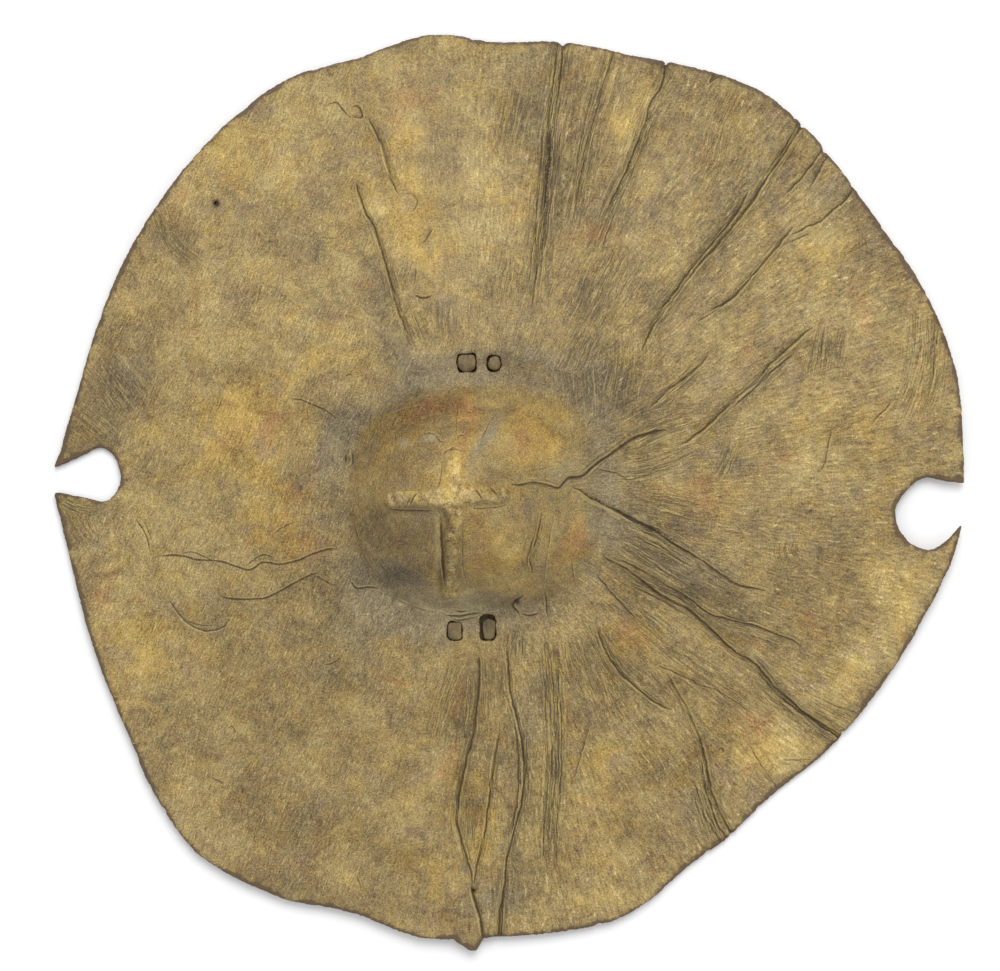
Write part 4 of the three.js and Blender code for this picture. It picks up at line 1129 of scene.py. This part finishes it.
        (200, -35, 20, 14, 90, 0.4), (212, 15, 14, 12, 0, 0.45), (-22, -67, 22, 6, 10, 0.7),
        (-45, 70, 30, 9, 30, 0.6), (52, -8, 24, 14, 90, 0.5), (-255, -4, 16, 10, 0, 0.6),
    ],
}


def patch_mask(x, y, patches):
    """The sum of the patches, each with an uneven edge."""
    warp_x = x + 7 * value_noise(x, y, 19, 60) + 3 * value_noise(x, y, 7, 61)
    warp_y = y + 7 * value_noise(x, y, 19, 62) + 3 * value_noise(x, y, 7, 63)
    on_boss = smooth((1.15 - boss_ratio(x, y)) / 0.2)
    px = warp_x + (x - warp_x) * 0.75 * on_boss
    py = warp_y + (y - warp_y) * 0.75 * on_boss
    total = np.zeros_like(x)
    for cx, cy, half_length, half_width, tilt, strength in patches:
        c, s = math.cos(math.radians(tilt)), math.sin(math.radians(tilt))
        along = ((px - cx) * c + (py - cy) * s) / half_length
        across = ((py - cy) * c - (px - cx) * s) / half_width
        total += strength * np.exp(-(along ** 2 + across ** 2) ** 1.2)
    return total


def edge_distance(points, edge):
    """How far each point is from the nearest cut edge, up to 12 mm."""
    nearest_edge = np.full(len(points), 12.0)
    for chunk in np.array_split(edge, len(edge) // 40):
        low, high = chunk.min(0) - 12, chunk.max(0) + 12
        near = np.flatnonzero(np.all((points > low) & (points < high), axis=1))
        if len(near):
            gaps = np.linalg.norm(points[near, None] - chunk[None], axis=2).min(1)
            nearest_edge[near] = np.minimum(nearest_edge[near], gaps)
    return nearest_edge


class Nodes:
    """Short names for the nodes of one procedural material."""

    def __init__(self, name):
        self.material = bpy.data.materials.new(name)
        self.material.use_nodes = True
        self.tree = self.material.node_tree
        self.shader = self.tree.nodes["Principled BSDF"]

    def node(self, kind, inputs=(), **settings):
        made = self.tree.nodes.new(kind)
        for key, value in settings.items():
            setattr(made, key, value)
        for socket, value in inputs:
            self.feed(made.inputs[socket], value)
        return made

    def feed(self, socket, value):
        if isinstance(value, bpy.types.NodeSocket):
            self.tree.links.new(value, socket)
        else:
            socket.default_value = value

    def attribute(self, name):
        return self.node("ShaderNodeAttribute", attribute_name=name).outputs["Fac"]

    def math(self, operation, a, b=0.0):
        return self.node("ShaderNodeMath", [(0, a), (1, b)], operation=operation).outputs[0]

    def add(self, *terms):
        total = terms[0]
        for term in terms[1:]:
            total = self.math("ADD", total, term)
        return total

    def times(self, a, b):
        return self.math("MULTIPLY", a, b)

    def vector(self, operation, a, b=(0.0, 0.0, 0.0)):
        made = self.node("ShaderNodeVectorMath", [(0, a)], operation=operation)
        self.feed(made.inputs["Scale" if operation == "SCALE" else 1], b)
        return made.outputs["Value" if operation == "LENGTH" else "Vector"]

    def along(self, vector, direction, unit):
        """How far the vector reaches in a direction, counted in so many millimetres."""
        made = self.node("ShaderNodeVectorMath", [(0, vector), (1, direction)],
                         operation="DOT_PRODUCT")
        return self.math("DIVIDE", made.outputs["Value"], unit)

    def shift(self, vector, distance):
        return self.vector("ADD", vector, (distance, 0.7 * distance, 0.4 * distance))

    def noise(self, vector, size, detail=3.0, roughness=0.55, color=False):
        """Noise about nought, from roughly -0.5 to 0.5, with features about size across."""
        made = self.node("ShaderNodeTexNoise", [("Vector", vector), ("Scale", 1.0 / size),
                                                ("Detail", detail), ("Roughness", roughness)])
        if color:
            return self.vector("SUBTRACT", made.outputs["Color"], (0.5, 0.5, 0.5))
        return self.math("SUBTRACT", made.outputs["Fac"], 0.5)

    def between(self, value, low, high):
        """0 up to low, 1 from high, smooth between."""
        made = self.node("ShaderNodeMapRange", [("Value", value), ("From Min", low),
                                                ("From Max", high)], interpolation_type="SMOOTHSTEP")
        return made.outputs["Result"]

    def blend(self, factor, a, b):
        made = self.node("ShaderNodeMix", data_type="RGBA")
        self.feed(made.inputs["Factor"], factor)
        self.feed(made.inputs[6], a)
        self.feed(made.inputs[7], b)
        return made.outputs[2]

    def ramp(self, value, colors):
        """Colours spread evenly over values from 0 to 1."""
        made = self.node("ShaderNodeValToRGB", [("Fac", value)])
        elements = made.color_ramp.elements
        while len(elements) < len(colors):
            elements.new(0.5)
        for k, color in enumerate(colors):
            elements[k].position = k / (len(colors) - 1)
            elements[k].color = color
        return made.outputs["Color"]

    def bump(self, height, distance, strength):
        made = self.node("ShaderNodeBump", [("Height", height), ("Distance", distance),
                                            ("Strength", strength)])
        return made.outputs["Normal"]


def screen_color(red, green, blue):
    """A colour named by its 0 to 255 values as seen on a screen."""
    linear = [((v / 255 + 0.055) / 1.055) ** 2.4 for v in (red, green, blue)]
    return (*linear, 1.0)


OLIVE_RAMP = [(60, 48, 30), (102, 85, 53), (136, 116, 73), (165, 144, 93), (196, 174, 115),
              (226, 208, 153)]
GOLD_RAMP = [(66, 48, 22), (112, 86, 38), (150, 121, 58), (180, 150, 77), (206, 177, 99),
             (232, 208, 134)]
RUST_RAMP = [(60, 42, 26), (106, 75, 43), (144, 106, 60), (172, 132, 80), (198, 160, 102),
             (220, 192, 138)]
UMBER_RAMP = [(54, 43, 34), (88, 73, 57), (120, 101, 78), (148, 128, 97), (178, 157, 120),
              (206, 188, 150)]
DUST_RAMP = [(62, 54, 42), (98, 87, 65), (126, 113, 86), (152, 139, 106), (180, 166, 129),
             (206, 196, 162)]
BACK_RAMP = [(70, 58, 42), (108, 92, 66), (140, 122, 90), (164, 146, 112), (184, 168, 134),
             (202, 188, 158)]


def millimetres(nodes):
    place = nodes.node("ShaderNodeTexCoord").outputs["Object"]
    return nodes.vector("SCALE", place, 1000.0)


def hide_fields(n):
    """The mottling, strokes and masks that the hide's colour, shine and grain share."""
    place = millimetres(n)
    flat = n.vector("MULTIPLY", place, (1.0, 1.0, 0.0))
    from_boss = n.vector("SUBTRACT", flat, (float(BOSS[0]), float(BOSS[1]), 0.0))
    radius = n.vector("LENGTH", from_boss)
    direction = n.vector("NORMALIZE", from_boss)
    rightward = n.node("ShaderNodeSeparateXYZ", [("Vector", direction)]).outputs["X"]
    warp = n.vector("SCALE", n.noise(place, 22.0, 1.0, color=True), 16.0)
    warped = n.vector("ADD", place, warp)

    # Mottling from broad clouds down to the grain.
    blotches = n.noise(n.shift(warped, 140.0), 26.0, 3.0, 0.66)
    patches = n.noise(n.shift(warped, 610.0), 30.0, 4.0, 0.72)
    patches = n.math("SUBTRACT", n.between(patches, -0.06, 0.06), 0.5)
    specks = n.noise(n.shift(warped, 260.0), 5.0, 2.0, 0.6)
    grain = n.noise(n.shift(place, 400.0), 0.95, 1.0, 0.7)

    # Short strokes in the grain: away from the boss on the right and below, slanting on the left.
    bent = n.vector("ADD", flat, n.vector("SCALE", warp, 0.25))
    lean = n.node("ShaderNodeCombineXYZ", [("X", n.along(bent, (0.38, 0.92, 0.0), 6.0)),
                                           ("Y", n.along(bent, (0.92, -0.38, 0.0), 0.85))])
    slanting = n.noise(lean.outputs["Vector"], 1.0, 2.0, 0.6)
    length = n.node("ShaderNodeCombineXYZ", [("Z", n.times(radius, 1.0 / 7.0))])
    leaving = n.vector("ADD", n.vector("SCALE", direction, 150.0), length.outputs["Vector"])
    leaving = n.noise(n.vector("ADD", leaving, n.vector("SCALE", warp, 0.12)), 1.0, 2.0, 0.65)
    on_left = n.between(rightward, 0.1, -0.4)
    strokes = n.node("ShaderNodeMix", [(0, on_left), (2, leaving), (3, slanting)],
                     data_type="FLOAT").outputs[0]
    clear = n.between(radius, 50.0, 100.0)
    strokes = n.times(strokes, n.add(0.6, n.times(clear, 0.4)))

    # The raised cross is crackled: pale specks on it are rubbed wear and painted glints, and pitted ones are
    # dark.
    cross = n.attribute("cross")
    rubbed_and_glint = n.between(specks, 0.02, 0.12)
    pitted = n.between(specks, -0.02, -0.1)
    crackle = n.times(n.times(cross, n.math("SUBTRACT", rubbed_and_glint, pitted)), 0.12)
    return SimpleNamespace(warped=warped, blotches=blotches, patches=patches, specks=specks,
                           grain=grain, strokes=strokes, cross=cross, crackle=crackle,
                           boss=n.attribute("boss"), side=n.attribute("side"))


def ground_color(n, f):
    """The colour of the face before its creases, worked from one tone and several ramps."""
    strokes = f.strokes
    sharp_strokes = n.math("SUBTRACT", n.between(strokes, 0.05, 0.2), n.between(strokes, -0.05, -0.2))
    calm = n.math("SUBTRACT", 1.0, n.times(f.boss, 0.15))
    mottle = n.add(n.times(f.blotches, 0.50), n.times(f.specks, 0.32), n.times(f.patches, 0.09))
    # The shade patches bring painted light and shade into the tone, with the hide's own tone.
    tone = n.add(0.455, n.times(n.attribute("shade"), 0.15), n.times(mottle, calm),
                 n.times(f.grain, 0.9), n.times(strokes, 0.50), n.times(sharp_strokes, 0.06),
                 n.times(f.cross, 0.05), f.crackle)

    def ramp(colors):
        return n.ramp(tone, [screen_color(*color) for color in colors])

    # Tints over the olive ground: each patch is broken up by the mottling.
    tints = n.node("ShaderNodeSeparateXYZ", [("Vector", n.noise(n.shift(f.warped, 700.0), 18.0, 3.0,
                                                                0.72, color=True))]).outputs
    gold = n.add(n.times(n.attribute("gold"), 0.85), n.times(tints["X"], 2.2), 0.05)
    color = n.blend(n.times(n.between(gold, -0.15, 0.9), 0.95), ramp(OLIVE_RAMP), ramp(GOLD_RAMP))
    rust = n.add(n.times(n.attribute("rust"), 0.75), n.times(tints["Y"], 2.2))
    color = n.blend(n.times(n.between(rust, 0.1, 0.85), 0.92), color, ramp(RUST_RAMP))
    umber = n.between(n.noise(n.shift(f.warped, 1600.0), 21.0, 3.0, 0.7), 0.04, 0.2)
    color = n.blend(n.times(umber, 0.55), color, ramp(UMBER_RAMP))
    dust = n.add(n.times(n.attribute("dust"), 0.9), n.times(tints["Z"], 1.2))
    color = n.blend(n.times(n.between(dust, 0.15, 1.1), 0.85), color, ramp(DUST_RAMP))

    # Small stains, dirt in the pores, and short pale scratches.
    stain = n.between(n.noise(n.shift(f.warped, 1150.0), 8.0, 1.0, 0.5), 0.19, 0.27)
    color = n.blend(n.times(stain, 0.4), color, screen_color(108, 78, 52))
    scratch = n.between(n.add(strokes, n.times(f.grain, 0.3)), 0.16, 0.26)
    color = n.blend(n.times(scratch, 0.45), color, screen_color(230, 212, 156))
    pores = n.between(n.add(f.grain, n.times(strokes, 0.4)), -0.2, -0.34)
    return n.blend(n.times(pores, 0.6), color, screen_color(70, 56, 38))


def draw_creases(n, f, color):
    """The colour with its creases and hairlines drawn in, with dirt, painted shade and painted highlights,
    and how deep they lie.
    """
    # Painted shade in the soft hollow round each crease.
    color = n.blend(n.times(n.attribute("crease_shade"), 0.42), color, screen_color(98, 86, 62))
    depth = 0.0
    # A thin dark line of dirt and painted shade, wider where the crease is strong, with a painted highlight
    # on the lip on one side.
    for c in range(CHANNELS):
        distance = n.add(n.attribute(f"line_{c}"), n.times(f.grain, 0.5), n.times(f.specks, 0.4))
        force = n.attribute(f"force_{c}")
        half_width = n.add(0.16, n.times(force, 0.38))
        away = n.math("DIVIDE", n.math("ABSOLUTE", distance), half_width)
        unbroken = n.between(n.add(force, n.times(f.specks, 1.2)), 0.0, 0.75)
        dirt_and_shade_line = n.times(n.between(away, 1.5, 0.35), unbroken)
        lip = n.math("ABSOLUTE", n.math("SUBTRACT", n.math("DIVIDE", distance, half_width), 2.6))
        lit = n.times(n.between(lip, 1.3, 0.2), force)
        color = n.blend(n.times(lit, 0.45), color, screen_color(212, 186, 116))
        color = n.blend(n.times(dirt_and_shade_line, 0.85), color, screen_color(52, 42, 30))
        depth = n.add(depth, n.times(lit, 0.5), n.times(dirt_and_shade_line, -1.0))

    # Hairline wrinkles that follow the bands, dark with dirt and painted shade, with a painted highlight on
    # one side.
    stripes = n.node("ShaderNodeCombineXYZ", [
        ("X", n.add(n.times(n.attribute("across"), 0.72), n.times(f.specks, 1.5))),
        ("Y", n.times(n.attribute("along"), 0.024)), ("Z", 3.7)])
    hair = n.noise(stripes.outputs["Vector"], 1.0, 2.0, 0.6)
    band = n.attribute("band")
    hairline = n.times(n.between(n.math("ABSOLUTE", hair), 0.055, 0.01), band)
    hair_lit_side = n.times(n.between(n.math("ABSOLUTE", n.add(hair, -0.11)), 0.055, 0.0), band)
    color = n.blend(n.times(hair_lit_side, 0.42), color, screen_color(212, 186, 112))
    color = n.blend(n.times(hairline, 0.68), color, screen_color(64, 53, 37))
    depth = n.add(depth, n.times(hair_lit_side, 0.5), n.times(hairline, -0.8))

    # The pits painted dark: painted shade in their hollows.
    pit_shade = n.add(n.attribute("dark"), n.times(f.grain, 0.5))
    return n.blend(n.between(pit_shade, 0.3, 0.9), color, screen_color(48, 38, 27)), depth


def edge_and_back(n, f, is_back, color):
    """The colour with a dark line along the rim, the brown cut edge and the paler flesh side."""
    rim = n.add(n.attribute("rim"), n.times(f.blotches, 9.0), n.times(f.specks, 5.0),
                n.times(f.grain, 1.2))
    color = n.blend(n.times(n.between(rim, 3.8, 1.2), 0.28), color, screen_color(118, 96, 64))
    color = n.blend(n.times(n.between(rim, 1.5, 0.3), 0.75), color, screen_color(80, 62, 42))
    cut = n.ramp(n.add(0.42, n.times(f.grain, 1.3), n.times(f.specks, 0.8)),
                 [screen_color(*c) for c in ((40, 30, 20), (74, 56, 38), (108, 84, 56), (150, 124, 88))])
    color = n.blend(n.between(f.side, 0.03, 0.15), color, cut)

    # The flesh side is plainer than the face and a little fibrous.
    fibre = n.noise(n.vector("MULTIPLY", n.shift(f.warped, 90.0), (1.0, 0.22, 1.0)), 1.4, 3.0, 0.7)
    back_tone = n.add(0.5, n.times(f.blotches, 0.7), n.times(fibre, 0.75))
    back = n.ramp(back_tone, [screen_color(*c) for c in BACK_RAMP])
    return n.blend(is_back, color, back)


def hide_material():
    n = Nodes("moulded_hide")
    f = hide_fields(n)
    is_back = n.between(f.side, 0.9, 0.99)
    color, crease_depth = draw_creases(n, f, ground_color(n, f))
    n.feed(n.shader.inputs["Base Color"], edge_and_back(n, f, is_back, color))

    dull = n.add(0.56, n.times(f.blotches, 0.3), n.times(f.grain, 0.3),
                 n.times(n.attribute("dust"), 0.12), n.times(f.boss, -0.1), n.times(f.cross, -0.1),
                 n.times(is_back, 0.2))
    n.feed(n.shader.inputs["Roughness"], n.math("MAXIMUM", dull, 0.3))
    n.feed(n.shader.inputs["Specular IOR Level"], 0.42)
    height = n.add(n.times(f.grain, 0.35), n.times(f.strokes, 0.45), n.times(f.specks, 0.45),
                   n.times(crease_depth, 0.25), n.times(f.crackle, 1.5))
    n.feed(n.shader.inputs["Normal"], n.bump(height, 0.001, 0.9))
    return n.material


# ---- The grip ----------------------------------------------------------------------------------

# Sizes of the strap, mm, as in the CAD part. It is flat over flat_length, and past that it
# changes from its middle shape to its end shape over the length called rise.
GRIP = {"back": 9, "flat_length": 62, "width": 27, "thickness": 7, "rise": 44, "end_width": 33,
        "end_thickness": 4, "top_end": (-16.5, 87), "bottom_end": (-21.5, -93)}
GRIP_VOXEL = 0.8                        # fineness of the grip's skin, mm


def grip_station(y):
    """Where the strap is at one place along it: middle, width, underside and top."""
    (bottom_x, bottom_y), (top_x, top_y) = GRIP["bottom_end"], GRIP["top_end"]
    x = bottom_x + (top_x - bottom_x) * (y - bottom_y) / (top_y - bottom_y)
    to_end = float(smooth((abs(y - BOSS[1]) - GRIP["flat_length"] / 2) / GRIP["rise"]))
    width = GRIP["width"] + (GRIP["end_width"] - GRIP["width"]) * to_end
    thickness = GRIP["thickness"] + (GRIP["end_thickness"] - GRIP["thickness"]) * to_end
    middle = GRIP["back"] + thickness
    if to_end == 0:
        return x, width, GRIP["back"], middle
    across = x + np.array([-1, -0.5, 0, 0.5, 1]) * width / 2
    under = back_height(across, np.full(5, float(y))).min()
    highest = 29
    clearance = 0.8
    top = middle + (min(under, highest) - clearance - middle) * to_end
    return x, width, top - thickness, top


def closed_tube(rings):
    """Vertices and faces of a closed skin over equal rings, with flat ends."""
    vertices = np.vstack(rings)
    count = len(rings[0])
    faces = []
    for k in range(len(rings) - 1):
        for i in range(count):
            j = (i + 1) % count
            faces.append((k * count + i, k * count + j, (k + 1) * count + j, (k + 1) * count + i))
    faces.append(tuple(range(count))[::-1])
    faces.append(tuple((len(rings) - 1) * count + i for i in range(count)))
    return vertices, faces


def strap_rings():
    """The strap from its bottom end to its top end, with rounded corners at both ends."""
    section = [(-0.5, 0.4), (-0.48, 0.12), (-0.42, 0), (0.42, 0), (0.48, 0.12), (0.5, 0.4),
               (0.47, 0.75), (0.38, 0.95), (0.2, 1), (-0.2, 1), (-0.38, 0.95), (-0.47, 0.75)]
    (_, bottom_y), (_, top_y) = GRIP["bottom_end"], GRIP["top_end"]
    rings = []
    for y in np.linspace(bottom_y + 0.4, top_y - 0.4, 73):
        x, width, low, high = grip_station(y)
        to_tip = min(y - bottom_y, top_y - y)
        narrow = 1 - 0.16 * (1 - min(1, to_tip / 7)) ** 2
        rings.append(np.array([(x + a * width * narrow, y, low + up * (high - low))
                               for a, up in section]))
    return rings


# How each tab sits in its slot: shift across and along, half width, half length, how square
# it is (1 is round) and how far its end stands above the face.
TABS = {
    "top_left": (0.0, 0.0, 5.9, 5.8, 0.75, 0.7),
    "top_right": (0.2, -0.1, 4.1, 4.7, 0.9, 0.3),
    "bottom_left": (0.1, 0.1, 4.6, 5.8, 0.45, 0.0),
    "bottom_right": (0.8, -1.2, 4.2, 6.7, 0.6, -0.5),
}


def tab_rings(name, x, y):
    """One tab that comes up through its slot."""
    shift_x, shift_y, half_x, half_y, squareness, proud = TABS[name]
    _, _, low, _ = grip_station(y)
    at = np.array([x]), np.array([y])
    top = float((smooth_face(*at) + ridge_height(*at))[0]) + proud
    angle = np.linspace(0, 2 * np.pi, 32, endpoint=False)
    shape = np.c_[np.cos(angle), np.sin(angle)]
    shape = np.sign(shape) * np.abs(shape) ** squareness
    waves = np.sin(3 * angle + x) + 0.8 * np.sin(5 * angle + y) + 0.5 * np.sin(8 * angle + x * y)
    shape = shape * (1 + 0.04 * (waves - 1.2))[:, None]
    rings = []
    for share, grow in ((0, 1), (0.5, 1), (0.9, 0.99), (0.97, 0.9), (1, 0.66)):
        ring = np.c_[x + shift_x + shape[:, 0] * half_x * grow,
                     y + shift_y + shape[:, 1] * half_y * grow,
                     np.full(len(angle), low + 1 + (top - low - 1) * share)]
        rings.append(ring)
    return rings


def build_grip():
    """The strap and its tabs, grown into one lumpy skin."""
    vertices = []
    faces = []
    start = 0
    tubes = [strap_rings()] + [tab_rings(name, *slot[:2]) for name, slot in SLOTS.items()]
    for rings in tubes:
        tube_vertices, tube_faces = closed_tube(rings)
        vertices.append(tube_vertices)
        faces += [tuple(i + start for i in face) for face in tube_faces]
        start += len(tube_vertices)
    mesh = bpy.data.meshes.new("rough_grip")
    mesh.from_pydata((np.vstack(vertices) * MM).tolist(), [], faces)
    rough = bpy.data.objects.new("rough_grip", mesh)
    bpy.context.scene.collection.objects.link(rough)
    remesh = rough.modifiers.new("skin", "REMESH")
    remesh.mode = "VOXEL"
    remesh.voxel_size = GRIP_VOXEL * MM
    graph = bpy.context.evaluated_depsgraph_get()
    skin = bpy.data.meshes.new_from_object(rough.evaluated_get(graph))
    bpy.data.objects.remove(rough)

    count = len(skin.vertices)
    points = np.zeros(3 * count)
    normals = np.zeros(3 * count)
    skin.vertices.foreach_get("co", points)
    skin.vertices.foreach_get("normal", normals)
    points = points.reshape(-1, 3) / MM
    normals = normals.reshape(-1, 3)
    x, y, z = points.T
    on_strap = z < 30
    lumps = 0.5 * value_noise(x + 0.6 * z, y, 14, 80) + 0.22 * value_noise(x - z, y + z, 5, 81)
    lumps += 0.12 * value_noise(x + z, y - z, 2.0, 82)
    flat_back = smooth((z - GRIP["back"] - 0.3) / 1.5)
    on_end = np.abs(normals[:, 2]) > 0.6
    move = (lumps - 0.35) * flat_back * np.where(on_strap, 1.0, np.where(on_end, 1.8, 0.2))
    points += normals * move[:, None]
    low, high = [np.array(corner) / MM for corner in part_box("hide_grip")]
    points = np.clip(points, low, high)
    skin.vertices.foreach_set("co", (points * MM).ravel())
    skin.polygons.foreach_set("use_smooth", [True] * len(skin.polygons))
    skin.update()
    piece = bpy.data.objects.new("hide_grip_strap", skin)
    bpy.context.scene.collection.objects.link(piece)
    store(piece, "tab", smooth((z - 33) / 3))
    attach(piece, "root")
    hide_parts("hide_grip")
    piece.data.materials.append(grip_material())


def grip_material():
    n = Nodes("grip_hide")
    place = millimetres(n)
    warp = n.vector("SCALE", n.noise(place, 9.0, 2.0, color=True), 5.0)
    warped = n.vector("ADD", place, warp)
    blotches = n.noise(warped, 11.0, 4.0, 0.6)
    along = n.noise(n.vector("MULTIPLY", warped, (1.0, 0.12, 1.0)), 1.6, 3.0, 0.65)
    grain = n.noise(n.shift(place, 50.0), 0.9, 3.0, 0.65)
    tab = n.attribute("tab")
    tone = n.add(0.48, n.times(blotches, 0.9), n.times(along, 0.6), n.times(grain, 0.45),
                 n.times(tab, -0.16))
    colors = [(36, 30, 22), (66, 56, 40), (96, 82, 56), (124, 106, 72), (150, 130, 90), (176, 156, 112)]
    color = n.ramp(tone, [screen_color(*c) for c in colors])
    dust = n.between(n.noise(n.shift(warped, 80.0), 6.0, 4.0, 0.65), 0.0, 0.3)
    color = n.blend(n.times(dust, 0.35), color, screen_color(128, 118, 92))
    streak = n.between(n.add(along, n.times(grain, 0.5)), 0.1, 0.25)
    color = n.blend(n.times(n.times(streak, tab), 0.55), color, screen_color(186, 172, 116))
    n.feed(n.shader.inputs["Base Color"], color)
    n.feed(n.shader.inputs["Roughness"], n.add(0.62, n.times(blotches, 0.4), n.times(grain, 0.3)))
    n.feed(n.shader.inputs["Specular IOR Level"], 0.4)
    normal = n.bump(n.add(n.times(along, 1.0), n.times(grain, 0.7)), 0.0006, 0.8)
    n.feed(n.shader.inputs["Normal"], normal)
    return n.material


build_hide()
build_grip()

# ---- Stage -----------------------------------------------------------------------------------


def plain_material(name, color, roughness):
    material = bpy.data.materials.new(name)
    material.use_nodes = True
    shader = material.node_tree.nodes["Principled BSDF"]
    shader.inputs["Base Color"].default_value = (*color, 1)
    shader.inputs["Roughness"].default_value = roughness
    return material


def build_floor():
    size = 6.0
    mesh = bpy.data.meshes.new("floor")
    mesh.from_pydata([(-size, -size, 0), (size, -size, 0), (size, size, 0), (-size, size, 0)], [],
                     [(0, 1, 2, 3)])
    floor = bpy.data.objects.new("floor", mesh)
    bpy.context.scene.collection.objects.link(floor)
    white = plain_material("floor", (0.93, 0.935, 0.94), 0.9)
    floor.data.materials.append(white)


def build_light():
    """An even white room with one big soft light above and behind the shield."""
    world = bpy.data.worlds.new("world")
    world.use_nodes = True
    background = world.node_tree.nodes["Background"]
    background.inputs["Color"].default_value = (1.0, 1.0, 1.0, 1)
    background.inputs["Strength"].default_value = 0.78
    bpy.context.scene.world = world
    lamp = bpy.data.lights.new("soft_box", "AREA")
    lamp.shape = "DISK"
    lamp.size = 2.6
    lamp.energy = 78
    softbox = bpy.data.objects.new("soft_box", lamp)
    softbox.location = (0.4, 2.0, 3.2)
    direction = -softbox.location.copy()
    softbox.rotation_euler = direction.to_track_quat("-Z", "Y").to_euler()
    bpy.context.scene.collection.objects.link(softbox)


def build_camera():
    """Straight above the shield, from far enough off to flatten the view."""
    distance = 2.4
    aim = (-0.0052, 0.0040)
    camera = bpy.data.cameras.new("camera")
    camera.sensor_width = 36
    camera.lens = 140
    camera.clip_end = 50
    piece = bpy.data.objects.new("camera", camera)
    piece.location = (*aim, distance)
    bpy.context.scene.collection.objects.link(piece)
    bpy.context.scene.camera = piece


build_floor()
build_light()
build_camera()
bpy.context.scene.view_settings.view_transform = "Standard"
